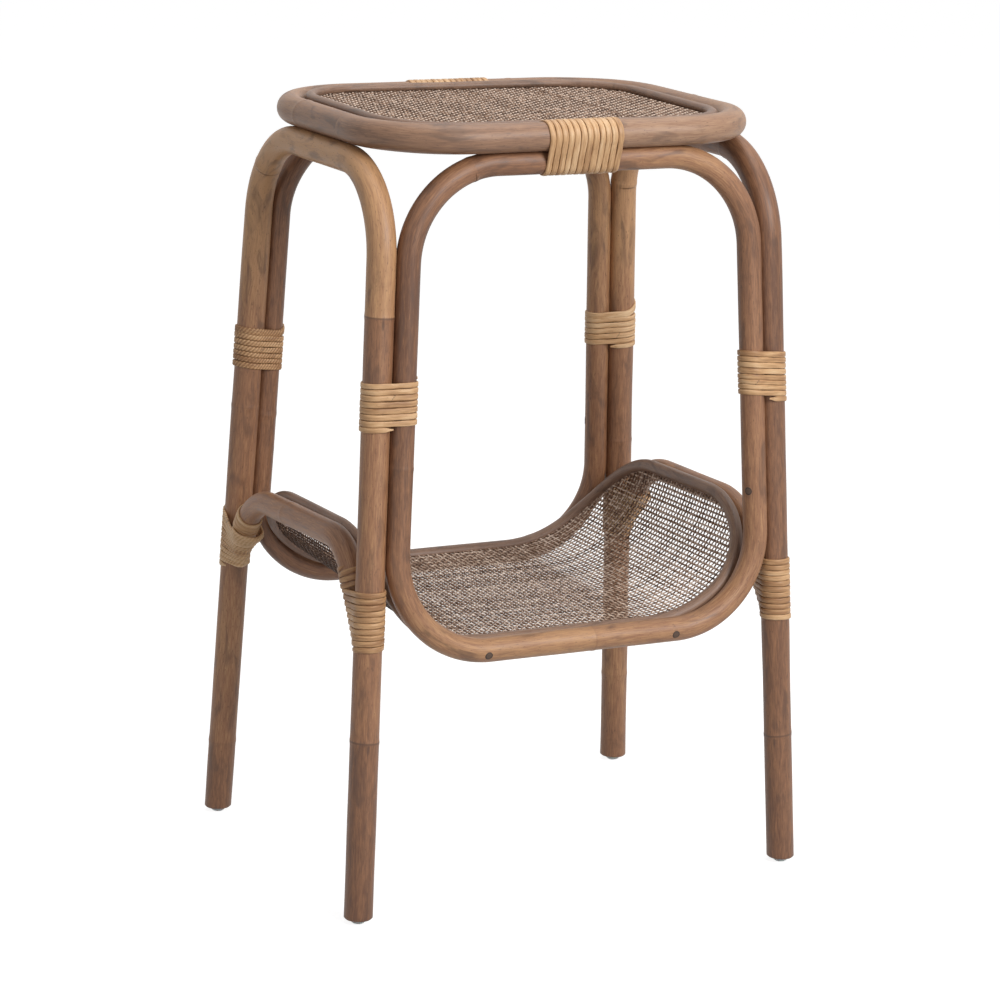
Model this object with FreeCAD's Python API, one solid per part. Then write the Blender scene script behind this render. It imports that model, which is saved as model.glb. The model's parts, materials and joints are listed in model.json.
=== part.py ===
import FreeCAD, Part
import os
from math import acos, asin, ceil, cos, pi, radians, sin, sqrt, tan

V = FreeCAD.Vector

# Rattan side table: bent poles, a ring-framed woven top and a hanging woven shelf.
# Millimetres, +Z up, origin on the floor under the middle of the table.
# +X runs along the long side of the top, the front of the table faces -Y.

# Overall
table_height = 695.6
pole_gap = 0.3
straight_limit = 1e-7

# Poles
leg_diameter = 25.4
loop_diameter = 22.0
stretcher_diameter = 22.0
ring_diameter = 25.4
rim_diameter = 12.0

# Legs: each side pair is one pole bent into an arch, splayed outwards
leg_floor_x = 214.9
leg_floor_y = 165.8
leg_lean_x = 0.0436
leg_lean_y = 0.0503
arch_corner_radius = 80.2
leg_end_chamfer = 1.2

# Front and back loops, whose posts run beside the legs
post_turn = 14.0
loop_top_corner_radius = 86.0
loop_bottom_corner_radius = 81.8

# Top ring: inboard of the arch rails, outboard of the loop rails
ring_inset_x = 5.3
ring_outset_y = 7.8
ring_corner_radius = 84.4

# Panel inside the ring: board, woven mat and a flat-bottomed cane trim over the mat's edge
mat_drop = 6.6
mat_thickness = 2.0
board_thickness = 9.0
trim_width = 9.6
trim_height = 6.4

# Stretchers: end poles that hold up the shelf's ends, above the loops' bottom rails by the shelf's depth
stretcher_height = 327.5
shelf_depth = 93.4
stretcher_corner_radius = 60.0
stretcher_outset = 4.0
stretcher_straight = 2.0
taper_length = 29.0
taper_tip_diameter = 7.0

# Shelf: a round rim that nests inside the loops, with an open mat in its groove
rim_tuck_angle = 12.0
rim_lift_angle = 16.0
shelf_bend_radius = 113.0
rim_corner_radius = 90.0
rim_butt_gap = 0.4
groove_depth = 3.0
groove_gap = 0.15
weave_border = 12.0
weave_pitch = 36.0
weave_opening = 22.0

# Lashings: one strand of rattan peel each, wound round two poles; each half turn is laid out in arc_steps,
# and a strand's gap to itself is measured between points more than own_run apart along it
strand_diameter = 3.0
top_lashing_turns = 12
top_lashing_pitch = 5.8
front_lashing_x = -7.1
back_lashing_x = 5.2
mid_lashing_turns = 8
mid_lashing_pitch = 5.4
mid_lashing_height = 455.5
low_lashing_turns = 10
low_lashing_pitch = 5.2
low_lashing_drop = 2.9
arc_steps = 4
own_run = 38.0

# Glides under the legs
glide_height = 4.5
glide_top_diameter = 14.0
glide_face_diameter = 8.0
glide_nail_diameter = 2.0
glide_nail_length = 20.0
glide_nail_head_diameter = 4.4
glide_nail_head_height = 1.0
glide_nail_cover = 1.6
glide_bulge_out = 0.8
glide_bulge_up = 0.4

# Screws with wooden plugs
screw_diameter = 3.2
screw_head_diameter = 6.4
screw_head_height = 2.6
screw_bite = 8.0
plug_diameter = 7.0
plug_depth = 3.4
fit_gap = 0.1
rim_screw_x = 93.0
post_screw_rise = 25.5
ring_screw_x = 75.0
ring_screw_y = 50.0
ring_screw_sink = 3.0
ring_screw_bite = 10.0

# Nails and brads
nail_diameter = 2.2
stretcher_nail_drop = 3.0
stretcher_nail_bite = 12.0
rim_nail_y = 40.0
rim_nail_bite = 10.0
board_nail_bite = 15.0
board_nail_sink = 2.0
board_nail_spacing = 80.0
brad_diameter = 1.2
brad_head_diameter = 2.4
brad_head_height = 0.6
brad_bite = 6.0
brad_spacing = 48.0

# Worked-out sizes
leg_r = leg_diameter / 2
loop_r = loop_diameter / 2
stretcher_r = stretcher_diameter / 2
ring_r = ring_diameter / 2
rim_r = rim_diameter / 2
strand_r = strand_diameter / 2

ring_z = table_height - ring_r
loop_bottom_height = stretcher_height - shelf_depth
post_screw_height = stretcher_height + post_screw_rise
loop_top_z = ring_z - sqrt((ring_r + loop_r + pole_gap) ** 2 - ring_outset_y ** 2)
arch_top_z = ring_z - sqrt((ring_r + leg_r + pole_gap) ** 2 - ring_inset_x ** 2)

post_reach = leg_r + loop_r + pole_gap
post_dx = post_reach * cos(radians(post_turn))
post_dy = post_reach * sin(radians(post_turn))

stretcher_reach = sqrt((leg_r + stretcher_r + pole_gap) ** 2 - stretcher_outset ** 2)

# A stretcher's bend starts this far below its corner; under it come a straight run and the whittled taper
leg_slant = sqrt(1 + leg_lean_x ** 2 + leg_lean_y ** 2)
stretcher_setback = stretcher_corner_radius / tan(acos(-leg_lean_y / leg_slant) / 2)
stretcher_bend_height = stretcher_height - stretcher_setback / leg_slant
taper_top_height = stretcher_bend_height - stretcher_straight
taper_tip_height = taper_top_height - taper_length
low_lashing_height = taper_top_height - low_lashing_drop
stretcher_nail_height = taper_top_height - stretcher_nail_drop

rim_to_loop = loop_r + rim_r + pole_gap
rim_to_stretcher = stretcher_r + rim_r + pole_gap


def leg_x(z):
    """Half distance between the legs along X at height z."""
    return leg_floor_x - leg_lean_x * z


def leg_y(z):
    """Half distance between the legs along Y at height z."""
    return leg_floor_y - leg_lean_y * z


def loop_x(z):
    """Half distance between a loop's posts at height z."""
    return leg_x(z) - post_dx


def loop_y(z):
    """Distance of a loop from the middle of the table at height z."""
    return leg_y(z) + post_dy


def stretcher_x(z):
    """Distance of a stretcher from the middle of the table at height z."""
    return leg_x(z) + stretcher_outset


ring_half_x = leg_x(arch_top_z) - ring_inset_x
ring_half_y = loop_y(loop_top_z) + ring_outset_y

# The shelf's middle surface is flat, then bends up to the rim's two ends
rim_z = loop_bottom_height + rim_to_loop * sin(radians(rim_tuck_angle))
rim_half_y = loop_y(loop_bottom_height) - rim_to_loop * cos(radians(rim_tuck_angle))
rim_end_z = stretcher_height + rim_to_stretcher * sin(radians(rim_lift_angle))
rim_end_x = stretcher_x(stretcher_height) - rim_to_stretcher * cos(radians(rim_lift_angle))
shelf_end_angle = acos(1 - (rim_end_z - rim_z) / shelf_bend_radius)
shelf_flat = rim_end_x - shelf_bend_radius * sin(shelf_end_angle)
shelf_reach = shelf_flat + shelf_bend_radius * shelf_end_angle

mat_top_z = table_height - mat_drop
board_top_z = mat_top_z - mat_thickness
panel_half_x = ring_half_x - ring_r - pole_gap
panel_half_y = ring_half_y - ring_r - pole_gap
panel_corner_radius = ring_corner_radius - ring_r - pole_gap


def fillet_points(before, corner, after, radius):
    """Start, middle and end of the arc that rounds a corner."""
    u = (before - corner).normalize()
    v = (after - corner).normalize()
    half = u.getAngle(v) / 2
    setback = radius / tan(half)
    centre = corner + (u + v).normalize() * (radius / sin(half))
    middle = centre + (corner - centre).normalize() * radius
    return corner + u * setback, middle, corner + v * setback


def closed_path(corners, radii):
    """Wire of straight runs and tangent arcs through rounded corners, back to its start."""
    count = len(corners)
    arcs = []
    for i in range(count):
        arcs.append(fillet_points(corners[i - 1], corners[i], corners[(i + 1) % count], radii[i]))
    edges = []
    for i in range(count):
        start, middle, end = arcs[i]
        edges.append(Part.Arc(start, middle, end).toShape())
        edges.append(Part.LineSegment(end, arcs[(i + 1) % count][0]).toShape())
    return Part.Wire(edges)


def open_path(points, radius):
    """Wire of straight runs and tangent arcs between two free ends."""
    edges = []
    last = points[0]
    for i in range(1, len(points) - 1):
        start, middle, end = fillet_points(points[i - 1], points[i], points[i + 1], radius)
        edges.append(Part.LineSegment(last, start).toShape())
        edges.append(Part.Arc(start, middle, end).toShape())
        last = end
    edges.append(Part.LineSegment(last, points[-1]).toShape())
    return Part.Wire(edges)


def round_pole(path, radius):
    """Solid of round section along a path."""
    first = path.OrderedEdges[0]
    start = path.OrderedVertexes[0].Point
    parameter = first.FirstParameter
    if (first.valueAt(parameter) - start).Length > (first.valueAt(first.LastParameter) - start).Length:
        parameter = first.LastParameter
    section = Part.Wire([Part.Circle(start, first.tangentAt(parameter), radius).toShape()])
    return path.makePipeShell([section], True, False)


def rod(start, direction, length, diameter):
    """Plain cylinder from a point along a direction."""
    return Part.makeCylinder(diameter / 2, length, start, direction)


def arc_between(start, tangent, end):
    """Edge from start, leaving along tangent, to end: an arc, or a line where it is straight."""
    chord = end - start
    along = V(chord).normalize()
    side = tangent - along * tangent.dot(along)
    if side.Length < straight_limit:
        return Part.LineSegment(start, end).toShape()
    lean = asin(min(1.0, side.Length))
    if tangent.dot(along) < 0:
        lean = pi - lean
    rise = chord.Length / 2 * tan(lean / 2)
    middle = start + chord * 0.5 + side.normalize() * rise
    return Part.Arc(start, middle, end).toShape()


def biarc(start, start_tangent, end, end_tangent):
    """Two arcs that join two points, each with its own tangent."""
    chord = end - start
    both = start_tangent + end_tangent
    share = 2 * (1 - start_tangent.dot(end_tangent))
    if share < straight_limit ** 2:
        reach = chord.dot(chord) / (4 * chord.dot(end_tangent))
    else:
        lean = chord.dot(both)
        reach = (sqrt(lean * lean + share * chord.dot(chord)) - lean) / share
    joint = (start + end + (start_tangent - end_tangent) * reach) * 0.5
    joint_tangent = (joint - start - start_tangent * reach).normalize()
    return [arc_between(start, start_tangent, joint), arc_between(joint, joint_tangent, end)]


def smooth_path(nodes):
    """Wire of biarcs through nodes, each a point and its tangent."""
    edges = []
    for (start, start_tangent), (end, end_tangent) in zip(nodes, nodes[1:]):
        edges.extend(biarc(start, start_tangent, end, end_tangent))
    return Part.Wire(edges)


# Frame poles


def make_leg_arch(side):
    """One side's two legs and the rail between them, bent from a single pole."""
    below = glide_height - leg_diameter
    points = []
    for end, z in ((-1, below), (-1, arch_top_z), (1, arch_top_z), (1, below)):
        points.append(V(side * leg_x(z), end * leg_y(z), z))
    arch = round_pole(open_path(points, arch_corner_radius), leg_r)
    span_x = 2 * leg_floor_x + 4 * leg_diameter
    span_y = 2 * leg_floor_y + 4 * leg_diameter
    depth = 3 * leg_diameter
    floor_block = Part.makeBox(span_x, span_y, depth, V(-span_x / 2, -span_y / 2, glide_height - depth))
    arch = arch.cut(floor_block)
    ends = []
    for edge in arch.Edges:
        if edge.BoundBox.ZMax < glide_height + pole_gap:
            ends.append(edge)
    return arch.makeChamfer(leg_end_chamfer, ends)


def make_loop(side):
    """Front or back pole, bent into a closed loop whose posts run beside the legs."""
    corners = []
    for end, z in ((-1, loop_bottom_height), (1, loop_bottom_height), (1, loop_top_z), (-1, loop_top_z)):
        corners.append(V(end * loop_x(z), side * loop_y(z), z))
    low = loop_bottom_corner_radius
    high = loop_top_corner_radius
    return round_pole(closed_path(corners, [low, low, high, high]), loop_r)


def leg_axis(side, end):
    """Unit vector up along a leg."""
    return V(-side * leg_lean_x, -end * leg_lean_y, 1).normalize()


def stretcher_end(side, end, z):
    """Point on the straight end of a stretcher, beside its leg."""
    return V(side * stretcher_x(z), end * (leg_y(z) - stretcher_reach), z)


def taper_radius(z):
    """Radius of a stretcher's whittled end at height z."""
    share = (z - taper_tip_height) / (taper_top_height - taper_tip_height)
    share = min(1.0, max(0.0, share))
    return taper_tip_diameter / 2 + share * (stretcher_r - taper_tip_diameter / 2)


def taper_reach(z):
    """Distance from the leg's axis to the axis of the whittled end at height z."""
    return leg_r + pole_gap + taper_radius(z)


def taper_centre(side, end, z):
    """Axis point of the whittled end at height z, drawn in towards the leg."""
    leg = V(side * leg_x(z), end * leg_y(z), z)
    outward = (stretcher_end(side, end, z) - leg).normalize()
    return leg + outward * taper_reach(z)


def make_stretcher(side):
    """End pole of the shelf: bent down beside the legs at both ends and whittled to a taper there."""
    points = []
    for z in (taper_top_height, stretcher_height):
        points.append(stretcher_end(side, -1, z))
    for z in (stretcher_height, taper_top_height):
        points.append(stretcher_end(side, 1, z))
    pole = round_pole(open_path(points, stretcher_corner_radius), stretcher_r)
    for end in (-1, 1):
        axis = leg_axis(side, end)
        top = Part.Circle(stretcher_end(side, end, taper_top_height), axis, stretcher_r)
        tip = Part.Circle(taper_centre(side, end, taper_tip_height), axis, taper_tip_diameter / 2)
        taper = Part.makeLoft([Part.Wire([top.toShape()]), Part.Wire([tip.toShape()])], True, True)
        pole = pole.fuse(taper)
    return pole


# Shelf


def shelf_point(s, y):
    """Point on the shelf's middle surface, s millimetres along its bend from the middle."""
    side = 1 if s >= 0 else -1
    run = abs(s) - shelf_flat
    if run <= 0:
        return V(s, y, rim_z)
    angle = run / shelf_bend_radius
    x = shelf_flat + shelf_bend_radius * sin(angle)
    return V(side * x, y, rim_z + shelf_bend_radius * (1 - cos(angle)))


def shelf_direction(s, along, across):
    """Unit vector on the shelf's middle surface, from its parts along the bend and across it."""
    side = 1 if s >= 0 else -1
    angle = max(0.0, abs(s) - shelf_flat) / shelf_bend_radius
    return V(along * cos(angle), across, side * along * sin(angle)).normalize()


def rim_corner(side, end, turn):
    """Node of the rim's centre line in one corner, turn degrees from the long side."""
    s = shelf_reach - rim_corner_radius + rim_corner_radius * sin(radians(turn))
    y = rim_half_y - rim_corner_radius + rim_corner_radius * cos(radians(turn))
    return side * s, end * y, side * cos(radians(turn)), -end * sin(radians(turn))


def make_shelf_rim():
    """Thin pole bent into a closed tray edge, with its butt joint in the middle of the back."""
    turns = (0.0, 22.5, 45.0, 67.5, 90.0)
    plan = [(rim_butt_gap / 2, rim_half_y, 1, 0), (shelf_flat, rim_half_y, 1, 0)]
    for turn in turns:
        plan.append(rim_corner(1, 1, turn))
    for turn in reversed(turns):
        s, y, along, across = rim_corner(1, -1, turn)
        plan.append((s, y, -along, -across))
    plan.append((shelf_flat, -rim_half_y, -1, 0))
    plan.append((-shelf_flat, -rim_half_y, -1, 0))
    for turn in turns:
        plan.append(rim_corner(-1, -1, turn))
    for turn in reversed(turns):
        s, y, along, across = rim_corner(-1, 1, turn)
        plan.append((s, y, -along, -across))
    plan.append((-shelf_flat, rim_half_y, 1, 0))
    plan.append((-rim_butt_gap / 2, rim_half_y, 1, 0))
    nodes = []
    for s, y, along, across in plan:
        nodes.append((shelf_point(s, y), shelf_direction(s, along, across)))
    return round_pole(smooth_path(nodes), rim_r)


def shelf_sheet(thickness, edge):
    """Bent sheet on the shelf's middle surface, its outline edge millimetres inside the rim's centre line."""
    half_y = rim_half_y - edge
    angle = shelf_end_angle - edge / shelf_bend_radius

    def side_point(side, radius, turn):
        x = shelf_flat + radius * sin(turn)
        return V(side * x, -half_y, rim_z + shelf_bend_radius - radius * cos(turn))

    inner = shelf_bend_radius - thickness / 2
    outer = shelf_bend_radius + thickness / 2
    edges = []
    for radius in (inner, outer):
        left = [side_point(-1, radius, turn) for turn in (angle, angle / 2, 0.0)]
        right = [side_point(1, radius, turn) for turn in (0.0, angle / 2, angle)]
        edges.append(Part.Arc(left[0], left[1], left[2]).toShape())
        edges.append(Part.LineSegment(left[2], right[0]).toShape())
        edges.append(Part.Arc(right[0], right[1], right[2]).toShape())
    for side in (-1, 1):
        upper_corner = side_point(side, inner, angle)
        lower_corner = side_point(side, outer, angle)
        edges.append(Part.LineSegment(upper_corner, lower_corner).toShape())
    section = Part.Face(Part.Wire(Part.sortEdges(edges)[0]))
    sheet = section.extrude(V(0, 2 * half_y, 0))
    radius = rim_corner_radius - edge
    reach = shelf_reach - edge
    for side in (-1, 1):
        for end in (-1, 1):
            sheet = sheet.cut(corner_waste(side, end, reach, half_y, radius))
    return sheet


def corner_waste(side, end, reach, half_y, radius):
    """Block outside one rounded corner of the shelf's sheet, square to the sheet in the corner's middle."""
    middle_s = side * (reach - radius / 2)
    base = shelf_point(middle_s, 0)
    along = shelf_direction(middle_s, side, 0)
    normal = along.cross(V(0, side, 0))
    depth = radius
    base = base - normal * (depth / 2)

    def flat_point(s, y):
        offset = shelf_point(side * s, 0) - base
        return base + along * offset.dot(along) + V(0, end * y, 0)

    start = flat_point(reach - radius, half_y)
    middle = flat_point(reach - radius * (1 - sqrt(0.5)), half_y - radius * (1 - sqrt(0.5)))
    stop = flat_point(reach, half_y - radius)
    outer_stop = stop + along * radius
    outer_corner = outer_stop + V(0, end * 2 * radius, 0)
    outer_start = start + V(0, end * radius, 0)
    edges = [
        Part.Arc(start, middle, stop).toShape(),
        Part.LineSegment(stop, outer_stop).toShape(),
        Part.LineSegment(outer_stop, outer_corner).toShape(),
        Part.LineSegment(outer_corner, outer_start).toShape(),
        Part.LineSegment(outer_start, start).toShape(),
    ]
    return Part.Face(Part.Wire(edges)).extrude(normal * depth)


def weave_blocks():
    """Blocks that open the shelf's mat in a plain grid, square to the mat, wherever one lies inside its border."""
    blocks = []
    half = weave_opening / 2
    depth = 2 * weave_opening
    straight_s = shelf_reach - rim_corner_radius
    straight_y = rim_half_y - rim_corner_radius
    for s in spaced(shelf_reach - weave_border, weave_pitch):
        along = shelf_direction(s, 1, 0)
        across = V(0, 1, 0)
        normal = along.cross(across)
        for y in spaced(rim_half_y - weave_border, weave_pitch):
            over_s = max(0.0, abs(s) + half - straight_s)
            over_y = max(0.0, abs(y) + half - straight_y)
            if sqrt(over_s ** 2 + over_y ** 2) > rim_corner_radius - weave_border:
                continue
            base = shelf_point(s, y) - normal * (depth / 2)
            corners = []
            for turn_s, turn_y in ((-1, -1), (1, -1), (1, 1), (-1, 1), (-1, -1)):
                corners.append(base + along * (turn_s * half) + across * (turn_y * half))
            blocks.append(Part.Face(Part.makePolygon(corners)).extrude(normal * depth))
    return blocks


# Top


def rounded_plate(half_x, half_y, radius, bottom, thickness):
    """Flat plate with rounded corners."""
    corners = [V(-half_x, -half_y, bottom), V(half_x, -half_y, bottom)]
    corners += [V(half_x, half_y, bottom), V(-half_x, half_y, bottom)]
    return Part.Face(closed_path(corners, [radius] * 4)).extrude(V(0, 0, thickness))


def make_ring():
    """Closed ring pole round the table top."""
    corners = [V(-ring_half_x, -ring_half_y, ring_z), V(ring_half_x, -ring_half_y, ring_z)]
    corners += [V(ring_half_x, ring_half_y, ring_z), V(-ring_half_x, ring_half_y, ring_z)]
    return round_pole(closed_path(corners, [ring_corner_radius] * 4), ring_r)


def make_trim():
    """Cane over the mat's edge, flat side down."""
    half_x = panel_half_x
    half_y = panel_half_y
    corners = [V(-half_x, -half_y, mat_top_z), V(half_x, -half_y, mat_top_z)]
    corners += [V(half_x, half_y, mat_top_z), V(-half_x, half_y, mat_top_z)]
    path = closed_path(corners, [panel_corner_radius] * 4)
    start = path.OrderedVertexes[0].Point
    inward = V(1, 0, 0)
    outer = start + inward * pole_gap
    crown = start + inward * (pole_gap + trim_width / 2) + V(0, 0, trim_height)
    inner = start + inward * (pole_gap + trim_width)
    section = Part.Wire([Part.Arc(outer, crown, inner).toShape(), Part.LineSegment(inner, outer).toShape()])
    return path.makePipeShell([section], True, False)


# Lashings


def belt_nodes(frame, near_radius, far_radius, reach, height, pitch):
    """Nodes of one turn round two parallel poles, starting and ending on the near pole's tangent point.

    The frame is an origin with unit vectors to the far pole, across and along the poles. The radii are
    those of the turn's centre line, and it climbs evenly along its own length.
    """
    origin, to_far, across, axis = frame
    lean = acos((near_radius - far_radius) / reach)
    straight = sqrt(reach ** 2 - (near_radius - far_radius) ** 2)
    near_arc = 2 * (pi - lean)
    far_arc = 2 * lean
    length = near_radius * near_arc + far_radius * far_arc + 2 * straight
    slope = pitch / length
    run = 0.0
    nodes = []
    for centre, radius, start, arc in ((0, near_radius, lean, near_arc), (reach, far_radius, -lean, far_arc)):
        for step in range(arc_steps + 1):
            turned = arc * step / arc_steps
            angle = start + turned
            rise = height + slope * (run + radius * turned)
            point = origin + to_far * (centre + radius * cos(angle)) + axis * rise
            point = point + across * (radius * sin(angle))
            tangent = across * cos(angle) - to_far * sin(angle) + axis * slope
            nodes.append((point, tangent.normalize()))
        run = radius * arc + straight
    return nodes


def belt_face(frame, near_radius, far_radius, reach):
    """Flat face inside a belt round two poles."""
    origin, to_far, across = frame[:3]
    lean = acos((near_radius - far_radius) / reach)

    def spot(centre, radius, angle):
        return origin + to_far * (centre + radius * cos(angle)) + across * (radius * sin(angle))

    near = [spot(0, near_radius, angle) for angle in (lean, pi, -lean)]
    far = [spot(reach, far_radius, angle) for angle in (-lean, 0, lean)]
    edges = [
        Part.Arc(near[0], near[1], near[2]).toShape(),
        Part.LineSegment(near[2], far[0]).toShape(),
        Part.Arc(far[0], far[1], far[2]).toShape(),
        Part.LineSegment(far[2], near[0]).toShape(),
    ]
    return Part.Face(Part.Wire(edges))


def make_lashing(name, frame, turns, pitch, near_radius, far_at):
    """One strand wound round two poles; far_at gives the far pole's radius and reach at a height."""
    wrap = pole_gap + strand_r
    nodes = []
    for turn in range(turns):
        height = (turn - turns / 2) * pitch
        far_radius, reach = far_at(height + pitch)
        nodes.extend(belt_nodes(frame, near_radius + wrap, far_radius + wrap, reach, height, pitch))
    first_point, first_tangent = nodes[0]
    last_point, last_tangent = nodes[-1]
    lead = Part.LineSegment(first_point - first_tangent * strand_diameter, first_point).toShape()
    tail = Part.LineSegment(last_point, last_point + last_tangent * strand_diameter).toShape()
    winding = smooth_path(nodes)
    path = Part.Wire([lead] + winding.OrderedEdges + [tail])
    print(name, "least gap between turns", round(least_gap(path), 2), "mm")
    return round_pole(path, strand_r)


def least_gap(path):
    """Least clear distance between different turns of a strand, measured on points along it."""
    step = strand_diameter
    points = path.discretize(int(ceil(path.Length / step)) + 1)
    apart = int(ceil(own_run / step))
    least = path.Length
    for i in range(len(points)):
        for j in range(i + apart, len(points)):
            least = min(least, points[i].distanceToPoint(points[j]))
    return least - strand_diameter


def top_lashing_frame(side, x):
    """Frame on the ring's axis at x, looking towards the loop's top rail, and the distance between them."""
    origin = V(x, side * ring_half_y, ring_z)
    rail = V(x, side * loop_y(loop_top_z), loop_top_z)
    to_far = (rail - origin).normalize()
    axis = V(1, 0, 0)
    return (origin, to_far, axis.cross(to_far), axis), (rail - origin).Length


def make_top_lashing(name, side, x):
    """Strand round the ring and a loop's top rail, at the middle of a long side."""
    frame, reach = top_lashing_frame(side, x)

    def far_at(height):
        return loop_r, reach

    return make_lashing(name, frame, top_lashing_turns, top_lashing_pitch, ring_r, far_at)


def top_lashing_room(side, x):
    """Space that a top lashing takes up between the ring and the panel."""
    frame, reach = top_lashing_frame(side, x)
    wrap = 2 * pole_gap + strand_diameter
    width = top_lashing_turns * top_lashing_pitch + 4 * strand_diameter
    room = belt_face(frame, ring_r + wrap, loop_r + wrap, reach).extrude(V(width, 0, 0))
    room.translate(V(-width / 2, 0, 0))
    return room


def leg_frame(side, end, height, beside):
    """Frame on a leg's axis at a height, looking towards a point on the pole beside it."""
    origin = V(side * leg_x(height), end * leg_y(height), height)
    axis = leg_axis(side, end)
    offset = beside - origin
    to_far = (offset - axis * offset.dot(axis)).normalize()
    return origin, to_far, axis.cross(to_far), axis


def make_mid_lashing(name, side, end):
    """Strand round a leg and the loop's post beside it."""
    z = mid_lashing_height
    post = V(side * loop_x(z), end * loop_y(z), z)
    frame = leg_frame(side, end, z, post)
    reach = (post - frame[0]).dot(frame[1])

    def far_at(height):
        return loop_r, reach

    return make_lashing(name, frame, mid_lashing_turns, mid_lashing_pitch, leg_r, far_at)


def make_low_lashing(name, side, end):
    """Strand round a leg and the stretcher's whittled end."""
    z = low_lashing_height
    frame = leg_frame(side, end, z, stretcher_end(side, end, z))

    def far_at(height):
        level = z + height
        if level <= taper_top_height:
            return taper_radius(level), taper_reach(level)
        slope = asin(max(0.0, level - stretcher_bend_height) / stretcher_corner_radius)
        swing = stretcher_corner_radius * (1 - cos(slope))
        return stretcher_r / cos(slope), taper_reach(level) + swing

    return make_lashing(name, frame, low_lashing_turns, low_lashing_pitch, leg_r, far_at)


# Fasteners


def headed_pin(start, direction, length, diameter, head_height, head_diameter, play):
    """Pin with a flat head at its start; play widens it into the hole that takes it."""
    shank = rod(start, direction, length, diameter + 2 * play)
    head = rod(start, direction, head_height + play, head_diameter + 2 * play)
    return shank.fuse(head)


def nail_hole(start, toward, length, lead):
    """Hole for a nail, open towards the pole's surface over its lead."""
    return rod(start - toward * lead, toward, lead + length + fit_gap, nail_diameter + 2 * fit_gap)


def through_pole_screws():
    """Start and direction of each plugged screw: two per loop into the rim, one per post into its leg."""
    spots = []
    sink = plug_depth - loop_r
    for end in (-1, 1):
        for side in (-1, 1):
            rail = V(side * rim_screw_x, end * loop_y(loop_bottom_height), loop_bottom_height)
            rim = V(side * rim_screw_x, end * rim_half_y, rim_z)
            toward = (rim - rail).normalize()
            spots.append((rail + toward * sink, toward))
            z = post_screw_height
            post = V(side * loop_x(z), end * loop_y(z), z)
            leg = V(side * leg_x(z), end * leg_y(z), z)
            toward = (leg - post).normalize()
            spots.append((post + toward * sink, toward))
    return spots


def ring_screw_spots():
    """Start and direction of each screw from below through a rail into the ring, with its rail's radius."""
    spots = []
    for end in (-1, 1):
        for side in (-1, 1):
            rail = V(side * ring_screw_x, end * loop_y(loop_top_z), loop_top_z)
            ring = V(side * ring_screw_x, end * ring_half_y, ring_z)
            toward = (ring - rail).normalize()
            spots.append((rail + toward * (ring_screw_sink - loop_r), toward, 2 * loop_r - ring_screw_sink))
            rail = V(side * leg_x(arch_top_z), end * ring_screw_y, arch_top_z)
            ring = V(side * ring_half_x, end * ring_screw_y, ring_z)
            toward = (ring - rail).normalize()
            spots.append((rail + toward * (ring_screw_sink - leg_r), toward, 2 * leg_r - ring_screw_sink))
    return spots


def stretcher_nail_spots():
    """Start and direction of each nail through a stretcher's end into its leg."""
    spots = []
    z = stretcher_nail_height
    for side in (-1, 1):
        for end in (-1, 1):
            centre = taper_centre(side, end, z)
            leg = V(side * leg_x(z), end * leg_y(z), z)
            toward = (leg - centre).normalize()
            spots.append((centre - toward * (taper_radius(z) - nail_diameter), toward))
    return spots


def rim_nail_spots():
    """Start and direction of each nail through the rim's end into its stretcher."""
    spots = []
    for side in (-1, 1):
        for end in (-1, 1):
            rim = V(side * rim_end_x, end * rim_nail_y, rim_end_z)
            pole = V(side * stretcher_x(stretcher_height), end * rim_nail_y, stretcher_height)
            toward = (pole - rim).normalize()
            spots.append((rim - toward * (groove_depth - nail_diameter), toward))
    return spots


def spaced(half_run, spacing):
    """Places evenly spread over a straight run about its middle, about one spacing apart."""
    count = max(1, round(2 * half_run / spacing))
    return [half_run * ((2 * i + 1) / count - 1) for i in range(count)]


def side_stations(half_x, half_y, radius, spacing):
    """Points along the straight sides of a rounded rectangle, with the direction inwards."""
    stations = []
    for side in (-1, 1):
        for x in spaced(half_x - radius, spacing):
            stations.append((V(x, side * half_y, 0), V(0, -side, 0)))
        for y in spaced(half_y - radius, spacing):
            stations.append((V(side * half_x, y, 0), V(-side, 0, 0)))
    return stations


def board_nail_spots():
    """Start and direction of each nail through the ring into the board's edge."""
    level = V(0, 0, board_top_z - board_thickness / 2)
    reach = sqrt(ring_r ** 2 - (level.z - ring_z) ** 2) - board_nail_sink
    spots = []
    for point, inward in side_stations(ring_half_x, ring_half_y, ring_corner_radius, board_nail_spacing):
        spots.append((point + level - inward * reach, inward))
    return spots


def trim_brad_spots():
    """Start of each brad down through the trim and mat into the board."""
    crown = V(0, 0, mat_top_z + trim_height)
    spots = []
    for point, inward in side_stations(panel_half_x, panel_half_y, panel_corner_radius, brad_spacing):
        spots.append(point + crown + inward * (pole_gap + trim_width / 2) - V(0, 0, brad_head_height))
    return spots


def make_glide(side, end):
    """Domed plastic foot with its nail moulded in."""
    foot = V(side * leg_x(glide_height), end * leg_y(glide_height), 0)
    face = glide_face_diameter / 2
    top = glide_top_diameter / 2
    bulge = V(face + (top - face) * glide_bulge_out, 0, glide_height * glide_bulge_up)
    outline = [
        Part.LineSegment(V(0, 0, 0), V(face, 0, 0)).toShape(),
        Part.Arc(V(face, 0, 0), bulge, V(top, 0, glide_height)).toShape(),
        Part.LineSegment(V(top, 0, glide_height), V(0, 0, glide_height)).toShape(),
        Part.LineSegment(V(0, 0, glide_height), V(0, 0, 0)).toShape(),
    ]
    dome = Part.Face(Part.Wire(outline)).revolve(V(0, 0, 0), V(0, 0, 1), 360)
    dome.translate(foot)
    return dome.cut(glide_nail(side, end, fit_gap))


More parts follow.
